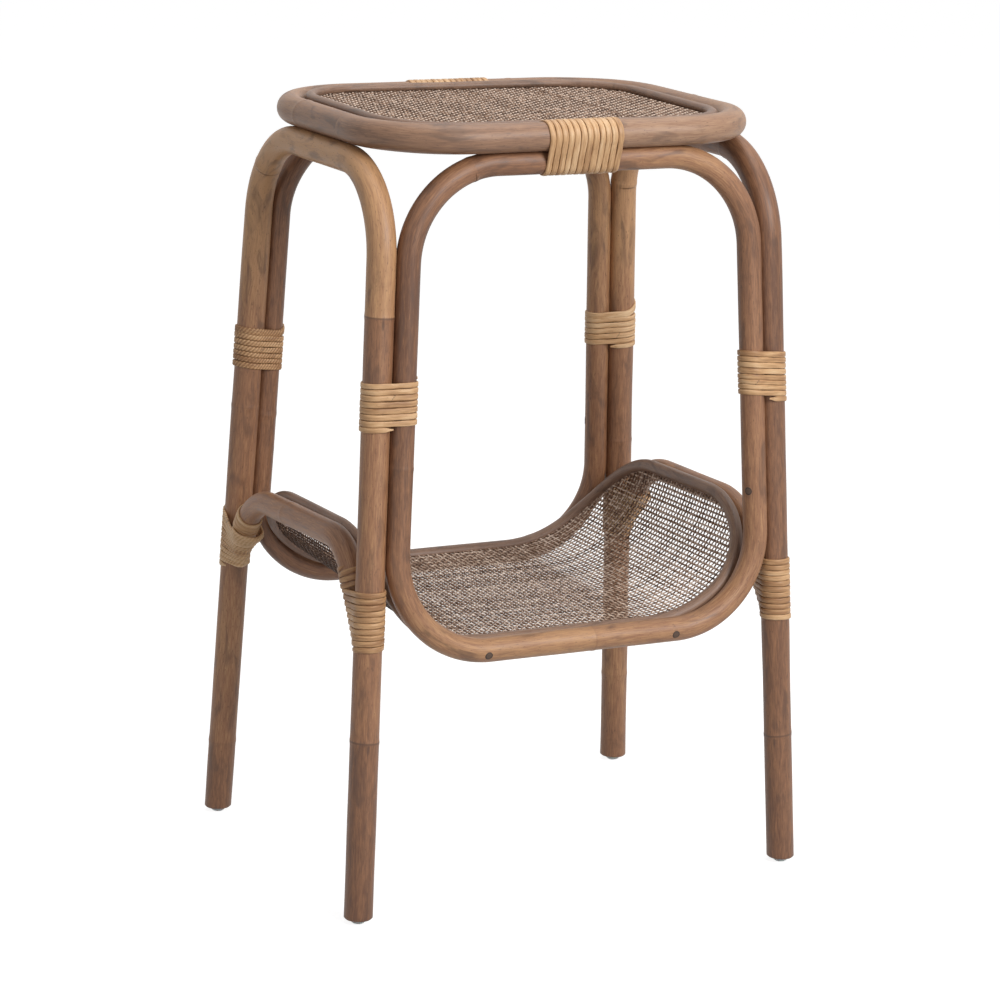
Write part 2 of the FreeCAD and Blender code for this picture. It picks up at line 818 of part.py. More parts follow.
def glide_nail(side, end, play):
    """Steel nail in a glide; play widens it into the space that holds it."""
    start = V(side * leg_x(glide_height), end * leg_y(glide_height), glide_nail_cover - play)
    head = glide_nail_head_height + play
    length = glide_nail_length + 2 * play
    return headed_pin(start, V(0, 0, 1), length, glide_nail_diameter, head, glide_nail_head_diameter, play)


def cut_all(shape, tools):
    """Shape with every tool cut out of it."""
    return shape.cut(Part.makeCompound(tools))


def build_nodes():
    """Every node of the table by name."""
    sides = {"left": -1, "right": 1}
    ends = {"front": -1, "back": 1}
    nodes = {}

    plugged = through_pole_screws()
    screw_length = 2 * loop_r - plug_depth + pole_gap + screw_bite
    screws = []
    screw_holes = []
    plugs = []
    for start, toward in plugged:
        shape = (screw_length, screw_diameter, screw_head_height, screw_head_diameter)
        screws.append(headed_pin(start + toward * fit_gap, toward, *shape, 0))
        screw_holes.append(headed_pin(start, toward, *shape, fit_gap))
        screw_holes.append(rod(start, toward, screw_length + 2 * fit_gap, screw_diameter + 2 * fit_gap))
        plug_length = plug_depth - fit_gap
        plugs.append(rod(start - toward * plug_length, toward, plug_length, plug_diameter))
        screw_holes.append(rod(start - toward * loop_r, toward, loop_r, plug_diameter + 2 * fit_gap))

    ring_screws = []
    ring_screw_holes = []
    for start, toward, rail_depth in ring_screw_spots():
        length = rail_depth + pole_gap + ring_screw_bite
        shape = (length, screw_diameter, screw_head_height, screw_head_diameter)
        ring_screws.append(headed_pin(start + toward * fit_gap, toward, *shape, 0))
        ring_screw_holes.append(headed_pin(start, toward, *shape, fit_gap))
        ring_screw_holes.append(rod(start, toward, length + 2 * fit_gap, screw_diameter + 2 * fit_gap))
        head_hole = screw_head_diameter + 2 * fit_gap
        ring_screw_holes.append(rod(start - toward * loop_r, toward, loop_r, head_hole))

    stretcher_nails = []
    stretcher_nail_holes = []
    for start, toward in stretcher_nail_spots():
        length = 2 * taper_radius(stretcher_nail_height) - nail_diameter + pole_gap + stretcher_nail_bite
        stretcher_nails.append(rod(start, toward, length, nail_diameter))
        stretcher_nail_holes.append(nail_hole(start, toward, length, leg_r))

    rim_nails = []
    rim_nail_holes = []
    for start, toward in rim_nail_spots():
        length = rim_r + groove_depth - nail_diameter + pole_gap + rim_nail_bite
        rim_nails.append(rod(start, toward, length, nail_diameter))
        rim_nail_holes.append(nail_hole(start, toward, length, rim_r))

    board_nails = []
    board_nail_holes = []
    for start, toward in board_nail_spots():
        length = 2 * ring_r - board_nail_sink + pole_gap + board_nail_bite
        board_nails.append(rod(start, toward, length, nail_diameter))
        board_nail_holes.append(nail_hole(start, toward, length, ring_r))

    brads = []
    brad_holes = []
    for start in trim_brad_spots():
        length = trim_height - brad_head_height + mat_thickness + brad_bite
        shape = (length, brad_diameter, brad_head_height, brad_head_diameter)
        brads.append(headed_pin(start, V(0, 0, -1), *shape, 0))
        brad_holes.append(headed_pin(start, V(0, 0, -1), *shape, fit_gap))
        brad_holes.append(rod(start, V(0, 0, 1), trim_height, brad_head_diameter + 2 * fit_gap))

    glide_nails = []
    glide_nail_holes = []
    for side in sides.values():
        for end in ends.values():
            glide_nails.append(glide_nail(side, end, 0))
            glide_nail_holes.append(glide_nail(side, end, fit_gap))

    leg_holes = screw_holes + ring_screw_holes + stretcher_nail_holes + glide_nail_holes
    for name, side in sides.items():
        nodes[name + "_leg_arch"] = cut_all(make_leg_arch(side), leg_holes)
        nodes[name + "_stretcher"] = cut_all(make_stretcher(side), stretcher_nail_holes + rim_nail_holes)
    for name, end in ends.items():
        nodes[name + "_loop"] = cut_all(make_loop(end), screw_holes + ring_screw_holes)

    nodes["top_ring"] = cut_all(make_ring(), ring_screw_holes + board_nail_holes)
    panel = (panel_half_x, panel_half_y, panel_corner_radius)
    lashing_rooms = [top_lashing_room(-1, front_lashing_x), top_lashing_room(1, back_lashing_x)]
    board = rounded_plate(*panel, board_top_z - board_thickness, board_thickness)
    nodes["top_board"] = cut_all(board, lashing_rooms + board_nail_holes + brad_holes)
    nodes["top_mat"] = cut_all(rounded_plate(*panel, board_top_z, mat_thickness), lashing_rooms + brad_holes)
    nodes["top_trim"] = cut_all(make_trim(), lashing_rooms + brad_holes)

    groove = shelf_sheet(mat_thickness + 2 * groove_gap, rim_r - groove_depth - groove_gap)
    nodes["shelf_rim"] = cut_all(make_shelf_rim(), [groove] + screw_holes + rim_nail_holes)
    nodes["shelf_mat"] = cut_all(shelf_sheet(mat_thickness, rim_r - groove_depth), weave_blocks())

    nodes["front_top_lashing"] = make_top_lashing("front_top_lashing", -1, front_lashing_x)
    nodes["back_top_lashing"] = make_top_lashing("back_top_lashing", 1, back_lashing_x)
    for end_name, end in ends.items():
        for side_name, side in sides.items():
            corner = end_name + "_" + side_name
            nodes[corner + "_mid_lashing"] = make_mid_lashing(corner + "_mid_lashing", side, end)
            nodes[corner + "_low_lashing"] = make_low_lashing(corner + "_low_lashing", side, end)
            nodes[corner + "_glide"] = make_glide(side, end)

    nodes["plugged_screws"] = Part.makeCompound(screws)
    nodes["screw_plugs"] = Part.makeCompound(plugs)
    nodes["ring_screws"] = Part.makeCompound(ring_screws)
    nodes["stretcher_nails"] = Part.makeCompound(stretcher_nails)
    nodes["rim_nails"] = Part.makeCompound(rim_nails)
    nodes["board_nails"] = Part.makeCompound(board_nails)
    nodes["trim_brads"] = Part.makeCompound(brads)
    nodes["glide_nails"] = Part.makeCompound(glide_nails)
    return nodes


os.makedirs("parts", exist_ok=True)
for node_name, node_shape in build_nodes().items():
    node_shape.exportStep("parts/" + node_name + ".step")
    print(node_name, node_shape.isValid(), len(node_shape.Solids), round(node_shape.Volume, 1))
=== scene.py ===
"""Looks of a rattan side table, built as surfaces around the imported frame.

Lengths are millimetres in the table's own frame, +Z up and the front towards -Y.
make_piece turns them into metres.
"""

import json
import logging
import math
from dataclasses import dataclass, field
from enum import Enum
from functools import reduce
from typing import Callable, Dict, List, Sequence, Tuple

import bpy
import numpy as np
from mathutils import Matrix, Vector


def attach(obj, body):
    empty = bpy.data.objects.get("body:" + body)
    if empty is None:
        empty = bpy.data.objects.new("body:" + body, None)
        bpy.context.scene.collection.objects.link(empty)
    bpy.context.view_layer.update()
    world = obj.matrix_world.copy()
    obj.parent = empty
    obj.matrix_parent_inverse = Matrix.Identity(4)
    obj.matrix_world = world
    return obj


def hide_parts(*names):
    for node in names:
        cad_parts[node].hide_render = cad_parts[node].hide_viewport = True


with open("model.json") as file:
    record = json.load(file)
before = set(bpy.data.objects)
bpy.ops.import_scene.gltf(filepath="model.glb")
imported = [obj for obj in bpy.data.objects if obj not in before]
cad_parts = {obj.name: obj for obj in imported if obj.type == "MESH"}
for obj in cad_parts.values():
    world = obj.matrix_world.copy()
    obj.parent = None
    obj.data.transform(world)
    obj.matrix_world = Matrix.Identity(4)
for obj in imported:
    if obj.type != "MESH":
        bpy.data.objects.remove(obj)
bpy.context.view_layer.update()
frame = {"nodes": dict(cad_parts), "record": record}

Array = np.ndarray
Color = Tuple[float, float, float, float]
Socket = bpy.types.NodeSocket
Span = Tuple[float, float]
Triple = Tuple[float, float, float]
Shades = Sequence[Span]
Pair = Tuple[Array, Array]

MM = 0.001
FULL_TURN = 2 * math.pi
BODY = "root"
WHITE = (1.0, 1.0, 1.0, 1.0)
X_WAY = np.array([1.0, 0, 0])
Y_WAY = np.array([0, 1.0, 0])
Z_WAY = np.array([0, 0, 1.0])
WANDER_COUNTS = np.array([0.6, 1.0, 1.5, 2.3])
WANDER_HEIGHTS = np.array([0.5, 0.45, 0.3, 0.2])
END_SHARES = np.array([0.0, 0.3, 1.0])
FIRST_KNUCKLE = (0.3, 0.8)
KNUCKLE_STEPS = (0.8, 1.25)
KNUCKLE_ROOM = 0.6
PIN_SIDES = 12
PIN_REFERENCE = np.array([0.3, 0.5, 0.8])

log = logging.getLogger("rattan_table")


class Slot(Enum):
    """Material slots of the record."""

    POLE = "stained_rattan"
    EDGE = "weathered_rattan"
    WEAVE = "woven_rattan"
    PEEL = "rattan_peel"
    BOARD = "plywood"
    PLUG = "dark_plug"
    STEEL = "steel"
    GLIDE = "clear_plastic"


class Side(Enum):
    """Left and right of the table, along X."""

    LEFT = -1
    RIGHT = 1


class End(Enum):
    """Front and back of the table, along Y."""

    FRONT = -1
    BACK = 1


def srgb(red: int, green: int, blue: int) -> Color:
    """Linear colour of three display values from 0 to 255.

    Args:
        red: display value of red.
        green: display value of green.
        blue: display value of blue.

    Returns:
        The colour, with full opacity.
    """
    shares = np.array([red, green, blue]) / 255.0
    linear = np.where(shares <= 0.04045, shares / 12.92, ((shares + 0.055) / 1.055) ** 2.4)
    return float(linear[0]), float(linear[1]), float(linear[2]), 1.0


def unit(vectors: Array) -> Array:
    """Vectors scaled to length one, along the last axis."""
    return vectors / np.linalg.norm(vectors, axis=-1, keepdims=True)


def ease(low: float, high: float, values: Array) -> Array:
    """Smooth step from 0 at low to 1 at high."""
    share = np.clip((values - low) / (high - low), 0.0, 1.0)
    return share * share * (3 - 2 * share)


def wander(run: Array, length: float, wave: float, seed: int) -> Array:
    """Smooth random curve, mostly between -1 and 1, that repeats after a length.

    A sum of four sine waves. Each has a whole number of periods in the length, near length / wave, and a
    phase drawn from the seed.

    Args:
        run: places along the length.
        length: length after which the curve repeats.
        wave: typical distance between two crests.
        seed: seed of the phases.

    Returns:
        The curve's height at each place.
    """
    rng = np.random.default_rng(seed)
    counts = np.maximum(1, np.round(length / wave * WANDER_COUNTS))
    phases = rng.uniform(0, FULL_TURN, len(counts))
    waves = np.sin(run[..., None] / length * FULL_TURN * counts + phases)
    return waves @ WANDER_HEIGHTS


@dataclass
class Surface:
    """Points, faces and point attributes of one closed mesh or of several."""

    points: Array
    faces: List[List[int]]
    attributes: Dict[str, Array] = field(default_factory=dict)

    def joined(self, other: "Surface") -> "Surface":
        """Both surfaces as one.

        Args:
            other: surface with the same attributes.

        Returns:
            The joined surface.
        """
        shift = len(self.points)
        moved = [[corner + shift for corner in face] for face in other.faces]
        attributes = {}
        for name, values in self.attributes.items():
            attributes[name] = np.concatenate([values, other.attributes[name]])
        return Surface(np.concatenate([self.points, other.points]), self.faces + moved, attributes)


def grid_faces(rows: int, columns: int, closed: bool) -> List[List[int]]:
    """Faces between neighbouring rows of a grid whose columns wrap round.

    Args:
        rows: number of rows along the path.
        columns: number of points in each row.
        closed: whether the last row joins the first.

    Returns:
        Four corner numbers for each face, outwards when the columns turn round the path to the right hand.
    """
    row, column = np.meshgrid(np.arange(rows if closed else rows - 1), np.arange(columns), indexing="ij")
    next_row = (row + 1) % rows
    next_column = (column + 1) % columns
    corners = [row * columns + column, row * columns + next_column]
    corners += [next_row * columns + next_column, next_row * columns + column]
    return np.stack(corners, axis=-1).reshape(-1, 4).tolist()


def end_caps(rows: int, columns: int) -> List[List[int]]:
    """Faces that close the first and last row of an open tube."""
    return [list(range(columns))[::-1], list(range((rows - 1) * columns, rows * columns))]


def joined_all(surfaces: Sequence[Surface]) -> Surface:
    """Several surfaces as one."""
    return reduce(Surface.joined, surfaces)


def grain_places(across: Array, upward: Array, run: Array, offset: float) -> Array:
    """Grain attribute: each point's place in its section, and its run with an offset of the piece's own."""
    along = np.broadcast_to(run[:, None] + offset, across.shape)
    return np.stack([across, upward, along], axis=-1).reshape(-1, 3)


def make_piece(
    name: str, surface: Surface, material: bpy.types.Material, nodes: Sequence[str]
) -> None:
    """Makes a mesh object of a surface and hangs it on the frame.

    Args:
        name: name of the piece.
        surface: its points in millimetres, faces and attributes.
        material: its finish.
        nodes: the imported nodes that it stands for.
    """
    mesh = bpy.data.meshes.new(name)
    mesh.from_pydata((surface.points * MM).tolist(), [], surface.faces)
    for label, values in surface.attributes.items():
        vector = values.ndim == 2
        layer = mesh.attributes.new(label, "FLOAT_VECTOR" if vector else "FLOAT", "POINT")
        layer.data.foreach_set("vector" if vector else "value", values.astype(np.float32).ravel())
    mesh.polygons.foreach_set("use_smooth", np.ones(len(mesh.polygons), dtype=bool))
    mesh.materials.append(material)
    mesh.update()
    piece = bpy.data.objects.new(name, mesh)
    bpy.context.scene.collection.objects.link(piece)
    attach(piece, BODY)
    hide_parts(*nodes)
    log.info("%s: %d faces", name, len(mesh.polygons))


@dataclass
class Path:
    """Centre line through points, which may come back to its start."""

    points: Array
    closed: bool

    def steps(self) -> Array:
        """Distances from each point to the next one.

        Returns:
            One distance for each step.
        """
        following = np.roll(self.points, -1, axis=0)
        lengths = np.linalg.norm(following - self.points, axis=1)
        return lengths if self.closed else lengths[:-1]

    def run(self) -> Array:
        """Distance along the path to each point."""
        travelled = np.concatenate([[0.0], np.cumsum(self.steps())])
        return travelled[: len(self.points)]

    def length(self) -> float:
        """Length of the whole path."""
        return float(self.steps().sum())

    def tangents(self) -> Array:
        """Unit direction at each point, from its two neighbours.

        Returns:
            One direction for each point.
        """
        if self.closed:
            return unit(np.roll(self.points, -1, axis=0) - np.roll(self.points, 1, axis=0))
        return unit(np.gradient(self.points, axis=0))

    def refined(self, places: Sequence[float], spread: Sequence[float]) -> "Path":
        """Path with more points round some places along it.

        Args:
            places: distances along the path.
            spread: distances of the new points from each place.

        Returns:
            The path through its old points and the new ones on its chords.
        """
        run = self.run()
        extra = (np.array(places)[:, None] + np.array(spread)).reshape(-1)
        wanted = np.union1d(run, extra[(extra > run[1]) & (extra < run[-2])])
        columns = [np.interp(wanted, run, self.points[:, i]) for i in range(3)]
        return Path(np.stack(columns, axis=-1), self.closed)

    def frames(self, reference: Array) -> Pair:
        """Two unit vectors square to the path.

        Args:
            reference: direction that the first one leans to, one for all points or one each.

        Returns:
            The reference direction squared to the path, and the path's direction times that.
        """
        tangents = self.tangents()
        lean = np.broadcast_to(reference, tangents.shape)
        first = unit(lean - tangents * np.sum(lean * tangents, axis=1, keepdims=True))
        return first, np.cross(tangents, first)


def line_points(start: Array, stop: Array, step: float) -> Array:
    """Points from start, evenly about one step apart, up to but without stop."""
    count = max(1, math.ceil(np.linalg.norm(stop - start) / step))
    return start + (stop - start) * (np.arange(count) / count)[:, None]


def corner_arc(before: Array, corner: Array, after: Array, radius: float, step: float) -> Array:
    """Points on the arc of a radius that rounds a corner, about one step apart.

    The arc's centre lies on the corner's bisector. A point at an angle is the centre plus the radius times
    cosine of the angle towards the arc's start and sine of the angle along the first side.

    Args:
        before: point before the corner.
        corner: the corner.
        after: point after the corner.
        radius: radius of the arc.
        step: distance between points.

    Returns:
        The points, with both ends of the arc.
    """
    back = unit(before - corner)
    ahead = unit(after - corner)
    half = math.acos(float(np.clip(back @ ahead, -1, 1))) / 2
    centre = corner + unit(back + ahead) * (radius / math.sin(half))
    start = corner + back * (radius / math.tan(half))
    sweep = math.pi - 2 * half
    angles = np.linspace(0, sweep, max(2, math.ceil(radius * sweep / step) + 1))[:, None]
    return centre + (start - centre) * np.cos(angles) - back * radius * np.sin(angles)


def rounded_line(around: Array, radii: Sequence[float], step: float, start: Array, stop: Array) -> Array:
    """Points from start round the inner corners of a row of points, up to but without stop.

    Args:
        around: row of points, whose inner ones are corners.
        radii: radius at each corner.
        step: distance between points.
        start: first point, between the first two of the row.
        stop: end of the line, between the last two of the row.

    Returns:
        The points.
    """
    points = []
    last = start
    for before, corner, after, radius in zip(around, around[1:], around[2:], radii):
        arc = corner_arc(before, corner, after, radius, step)
        points += [line_points(last, arc[0], step), arc[:-1]]
        last = arc[-1]
    return np.concatenate(points + [line_points(last, stop, step)])


def closed_path(corners: Array, radii: Sequence[float], step: float, seam: float = 0.5) -> Path:
    """Path round rounded corners, which starts at a share of the side before the first corner.

    Args:
        corners: corner points in order.
        radii: radius at each corner.
        step: distance between points.
        seam: share of the side between the last and the first corner at which the path starts.

    Returns:
        The closed path.
    """
    start = corners[-1] + (corners[0] - corners[-1]) * seam
    around = np.concatenate([corners[-1:], corners, corners[:1]])
    return Path(rounded_line(around, radii, step, start, start), True)


def level_corners(x: float, y: float, z: float) -> Array:
    """Corners of a level rectangle, from the left back one round by the front."""
    return np.array([[-x, y, z], [-x, -y, z], [x, -y, z], [x, y, z]])


def open_path(corners: Array, radii: Sequence[float], step: float, rounding: float) -> Path:
    """Path through rounded corners between two free ends.

    Args:
        corners: end points and corner points in order.
        radii: radius at each inner corner.
        step: distance between points.
        rounding: length at both ends that gets extra points, for a rounded end.

    Returns:
        The open path.
    """
    inner = rounded_line(corners, radii, step, corners[0], corners[-1])[1:]
    shares = END_SHARES[:, None] * rounding
    head = corners[0] + unit(corners[1] - corners[0]) * shares
    tail = corners[-1] + unit(corners[-2] - corners[-1]) * shares[::-1]
    return Path(np.concatenate([head, inner, tail]), False)


class Shader:
    """A material's node tree, with one short call for each kind of node that the finishes use."""

    def __init__(self, name: str) -> None:
        """Starts a material with one principled shader.

        Args:
            name: name of the material.
        """
        self.material = bpy.data.materials.new(name)
        self.material.use_nodes = True
        self.tree = self.material.node_tree
        self.surface = self.tree.nodes["Principled BSDF"]

    def add(self, kind: str, **settings: object) -> bpy.types.Node:
        """New node of a kind, with its settings.

        Args:
            kind: type of the node.
            settings: properties to set on it.

        Returns:
            The node.
        """
        node = self.tree.nodes.new(kind)
        for label, value in settings.items():
            setattr(node, label, value)
        return node

    def feed(self, node: bpy.types.Node, inputs: Dict[object, object]) -> None:
        """Sets a node's inputs to values or links them to sockets.

        Args:
            node: the node.
            inputs: input names or numbers, with a value or an output socket each.
        """
        for label, value in inputs.items():
            if isinstance(value, bpy.types.NodeSocket):
                self.tree.links.new(value, node.inputs[label])
            else:
                node.inputs[label].default_value = value

    def attribute(self, name: str, output: str = "Fac") -> Socket:
        """Output of a mesh attribute."""
        return self.add("ShaderNodeAttribute", attribute_name=name).outputs[output]

    def grain(self) -> Socket:
        """Place in a piece's section and along it, in millimetres."""
        return self.attribute("grain", "Vector")

    def place(self) -> Socket:
        """Object coordinates, in metres."""
        return self.add("ShaderNodeTexCoord").outputs["Object"]

    def noise(self, vector: Socket, scale: Triple, detail: float, bend: float = 0.0) -> Socket:
        """Noise from 0 to 1 on a stretched vector.

        Args:
            vector: coordinates.
            scale: waves per unit of each coordinate.
            detail: number of finer octaves.
            bend: distortion.

        Returns:
            The noise's value.
        """
        stretched = self.add("ShaderNodeMapping")
        self.feed(stretched, {"Vector": vector, "Scale": scale})
        place = stretched.outputs["Vector"]
        node = self.add("ShaderNodeTexNoise")
        self.feed(node, {"Vector": place, "Scale": 1.0, "Detail": detail, "Distortion": bend})
        return node.outputs["Fac"]

    def scaled(self, value: Socket, low: float, high: float, first: float = 0.0, last: float = 1.0) -> Socket:
        """Value moved from the range low to high into the range first to last, and kept inside it.

        Args:
            value: value to move.
            low: start of its range.
            high: end of its range.
            first: start of the new range.
            last: end of the new range.

        Returns:
            The moved value.
        """
        node = self.add("ShaderNodeMapRange", interpolation_type="SMOOTHSTEP")
        self.feed(node, {"Value": value, "From Min": low, "From Max": high, "To Min": first, "To Max": last})
        return node.outputs["Result"]

    def combined(self, operation: str, first: object, second: object) -> Socket:
        """Math node on two values or sockets.

        Args:
            operation: name of the operation.
            first: first of the two.
            second: second of the two.

        Returns:
            The result.
        """
        node = self.add("ShaderNodeMath", operation=operation)
        self.feed(node, {0: first, 1: second})
        return node.outputs[0]

    def weighed(self, first: Socket, share: float, second: Socket, other_share: float) -> Socket:
        """Sum of two values, each times its share."""
        weighed_first = self.combined("MULTIPLY", first, share)
        return self.combined("ADD", weighed_first, self.combined("MULTIPLY", second, other_share))

    def toned(self, value: Socket, places: Triple, colors: Sequence[Color]) -> Socket:
        """Colour between three stops.

        Args:
            value: place on the ramp.
            places: places of the stops, in order.
            colors: colour at each stop.

        Returns:
            The colour.
        """
        node = self.add("ShaderNodeValToRGB")
        elements = node.color_ramp.elements
        elements.new(0.5)
        for element, place, color in zip(elements, places, colors):
            element.position = place
            element.color = color
        self.feed(node, {"Fac": value})
        return node.outputs["Color"]

    def mixed(self, share: object, first: object, second: object) -> Socket:
        """Two colours mixed by a share.

        Args:
            share: share of the second colour.
            first: first of the two.
            second: second of the two.

        Returns:
            The mixed colour.
        """
        node = self.add("ShaderNodeMix", data_type="RGBA", blend_type="MIX")
        self.feed(node, {0: share, 6: first, 7: second})
        return node.outputs[2]

    def marked(self, color: Socket, value: Socket, rise: Span, share: float, mark: Color) -> Socket:
        """Colour with up to a share of a mark's colour, where a value rises through a span."""
        return self.mixed(self.scaled(value, *rise, 0.0, share), color, mark)

    def painted(self, color: Socket, grain: Socket, roughness: Span) -> None:
        """Gives the shader a colour, and a roughness that follows a grain value."""
        rough = self.scaled(grain, 0.3, 0.7, *roughness)
        self.feed(self.surface, {"Base Color": color, "Roughness": rough})

    def bumped(self, height: Socket, strength: float, depth: float) -> None:
        """Gives the shader a bump of a depth in millimetres.

        Args:
            height: value that gives the height.
            strength: how much of the bump shows.
            depth: depth in millimetres.
        """
        node = self.add("ShaderNodeBump")
        self.feed(node, {"Height": height, "Strength": strength, "Distance": depth * MM})
        self.feed(self.surface, {"Normal": node.outputs["Normal"]})


@dataclass(frozen=True)
class PoleFinish:
    """Stained rattan pole: soft fibres, cloudy stain, flecks, and dark knuckle lines and bud scars."""

    name: str
    tones: Tuple[Color, Color, Color]
    stain: Color
    places: Triple = (0.145, 0.375, 0.605)
    fibre_scale: Triple = (0.95, 0.95, 0.09)
    band_scale: Triple = (0.2, 0.2, 0.02)
    cloud_scale: Triple = (0.09, 0.09, 0.025)
    fleck_scale: Triple = (0.9, 0.9, 0.25)
    roughness: Span = (0.42, 0.56)

    def material(self) -> bpy.types.Material:
        """The finish's material, which reads the grain, tone, knuckle and scar attributes.

        Returns:
            The material.
        """
        shader = Shader(self.name)
        grain = shader.grain()
        fibres = shader.noise(grain, self.fibre_scale, 3.0, 0.3)
        bands = shader.noise(grain, self.band_scale, 3.0, 0.4)
        clouds = shader.noise(grain, self.cloud_scale, 4.0, 0.8)
        flecks = shader.noise(grain, self.fleck_scale, 2.0)
        streaks = shader.weighed(fibres, 0.45, bands, 0.3)
        place = shader.combined("ADD", streaks, shader.attribute("tone"))
        color = shader.toned(place, self.places, self.tones)
        color = shader.marked(color, clouds, (0.5, 0.72), 0.6, self.stain)
        color = shader.marked(color, flecks, (0.62, 0.72), 0.5, self.stain)
        color = shader.marked(color, shader.attribute("knuckle"), (0.0, 1.0), 0.75, self.stain)
        color = shader.marked(color, shader.attribute("scar"), (0.2, 0.8), 0.8, self.stain)
        shader.painted(color, fibres, self.roughness)
        shader.bumped(streaks, 0.2, 0.4)
        return shader.material


@dataclass(frozen=True)
class PeelFinish:
    """Natural rattan peel: honey strips that differ in tone, with fine fibres and dark splices."""

    name: str
    tones: Tuple[Color, Color, Color]
    splice: Color
    places: Triple = (0.3, 0.5, 0.68)
    fibre_scale: Triple = (1.9, 1.9, 0.035)
    patch_scale: Triple = (0.3, 0.3, 0.05)
    fleck_scale: Triple = (1.0, 1.0, 0.3)
    roughness: Span = (0.42, 0.6)

    def material(self) -> bpy.types.Material:
        """The finish's material, which reads the grain, tone and splice attributes.

        Returns:
            The material.
        """
        shader = Shader(self.name)
        grain = shader.grain()
        fibres = shader.noise(grain, self.fibre_scale, 4.0)
        patches = shader.noise(grain, self.patch_scale, 3.0, 0.5)
        flecks = shader.noise(grain, self.fleck_scale, 3.0)
        mix = shader.combined("ADD", shader.weighed(fibres, 0.5, patches, 0.5), shader.attribute("tone"))
        color = shader.toned(mix, self.places, self.tones)
        color = shader.marked(color, flecks, (0.62, 0.72), 0.45, self.tones[0])
        splice = shader.scaled(shader.attribute("splice"), 0.3, 0.9, 0.85, 0.0)
        shader.painted(shader.mixed(splice, color, self.splice), fibres, self.roughness)
        shader.bumped(mix, 0.4, 0.4)
        return shader.material


@dataclass(frozen=True)
class WeaveFinish:
    """Woven strands, each with its own tone between dark and pale."""

    name: str
    tones: Tuple[Color, Color, Color]
    places: Triple = (0.32, 0.5, 0.68)
    fibre_scale: Triple = (2.0, 2.0, 0.06)
    patch_scale: Triple = (0.12, 0.12, 0.2)
    roughness: Span = (0.6, 0.8)

    def material(self) -> bpy.types.Material:
        """The finish's material, which reads the grain and tone attributes.

        Returns:
            The material.
        """
        shader = Shader(self.name)
        grain = shader.grain()
        fibres = shader.noise(grain, self.fibre_scale, 3.0)
        patches = shader.noise(grain, self.patch_scale, 2.0)
        mix = shader.combined("ADD", shader.weighed(fibres, 0.3, patches, 0.7), shader.attribute("tone"))
        shader.painted(shader.toned(mix, self.places, self.tones), fibres, self.roughness)
        shader.feed(shader.surface, {"Specular IOR Level": 0.25})
        shader.bumped(fibres, 0.3, 0.2)
        return shader.material


@dataclass(frozen=True)
class PlugFinish:
    """Dark filler over a sunk screw, paler in the middle."""

    name: str
    rim: Color
    middle: Color
    speck_scale: Triple = (2200.0, 2200.0, 2200.0)

    def material(self) -> bpy.types.Material:
        """The finish's material, which reads how far a point is from the plug's middle.

        Returns:
            The material.
        """
        shader = Shader(self.name)
        specks = shader.noise(shader.place(), self.speck_scale, 3.0)
        color = shader.mixed(shader.scaled(shader.attribute("reach"), 0.55, 0.95), self.middle, self.rim)
        color = shader.marked(color, specks, (0.45, 0.7), 0.6, self.rim)
        shader.feed(shader.surface, {"Base Color": color, "Roughness": 0.7})
        shader.bumped(specks, 0.4, 0.2)
        return shader.material


@dataclass(frozen=True)
class SolidFinish:
    """Finish of a carried-over node: two tones mixed by noise on its place."""

    name: str
    first: Color
    second: Color
    scale: Triple
    roughness: Span
    metallic: float = 0.0
    transmission: float = 0.0
    subsurface: float = 0.0

    def material(self) -> bpy.types.Material:
        """The finish's material on object coordinates in metres.

        Returns:
            The material.
        """
        shader = Shader(self.name)
        grain = shader.noise(shader.place(), self.scale, 4.0, 0.4)
        color = shader.mixed(shader.scaled(grain, 0.35, 0.65), self.first, self.second)
        shader.painted(color, grain, self.roughness)
        weights = {"Transmission Weight": self.transmission, "Subsurface Weight": self.subsurface}
        shader.feed(shader.surface, {"Metallic": self.metallic, **weights})
        shader.bumped(grain, 0.15, 0.2)
        return shader.material


POLE_FINISH = PoleFinish(
    "stained_pole", (srgb(100, 66, 46), srgb(148, 105, 75), srgb(188, 144, 103)), srgb(84, 58, 44)
)
# The ring's tones are greyer than the poles' all round, as a painted sheen of the light from above.
RING_GREYED_FOR_SHEEN = PoleFinish(
    "ring_pole", (srgb(100, 72, 56), srgb(145, 110, 86), srgb(174, 140, 112)), srgb(84, 64, 53)
)
EDGE_FINISH = PoleFinish(
    "weathered_pole", (srgb(88, 64, 50), srgb(127, 98, 80), srgb(158, 127, 104)), srgb(74, 57, 47)
)
PEEL_FINISH = PeelFinish(
    "rattan_peel", (srgb(146, 104, 68), srgb(198, 156, 112), srgb(222, 187, 146)), srgb(80, 52, 36)
)
WEAVE_FINISH = WeaveFinish("woven_rattan", (srgb(66, 45, 32), srgb(146, 114, 92), srgb(226, 203, 185)))
PLUG_FINISH = PlugFinish("dark_filler", srgb(50, 36, 28), srgb(88, 68, 55))
CARRIED_FINISHES = {
    # The board is coloured darker than plywood as painted shade in the gaps of the top weave.
    Slot.BOARD: SolidFinish(
        "plywood", srgb(74, 54, 40), srgb(98, 74, 56), (14.0, 220.0, 60.0), (0.55, 0.75)
    ),
    Slot.STEEL: SolidFinish(
        "zinc_steel", srgb(168, 170, 174), srgb(196, 197, 200), (900.0, 900.0, 900.0), (0.3, 0.5),
        metallic=1.0
    ),
    Slot.GLIDE: SolidFinish(
        "milky_plastic", srgb(226, 227, 226), srgb(242, 242, 240), (260.0, 260.0, 260.0), (0.25, 0.4),
        transmission=0.25, subsurface=0.3
    ),
}


@dataclass(frozen=True)
class StretcherRun:
    """How one end of a stretcher runs, beside its leg and round its corner."""

    corner_z: float
    bend: float
    outset: float
    foot_outset: float
    tip_z: float
    taper_top: float


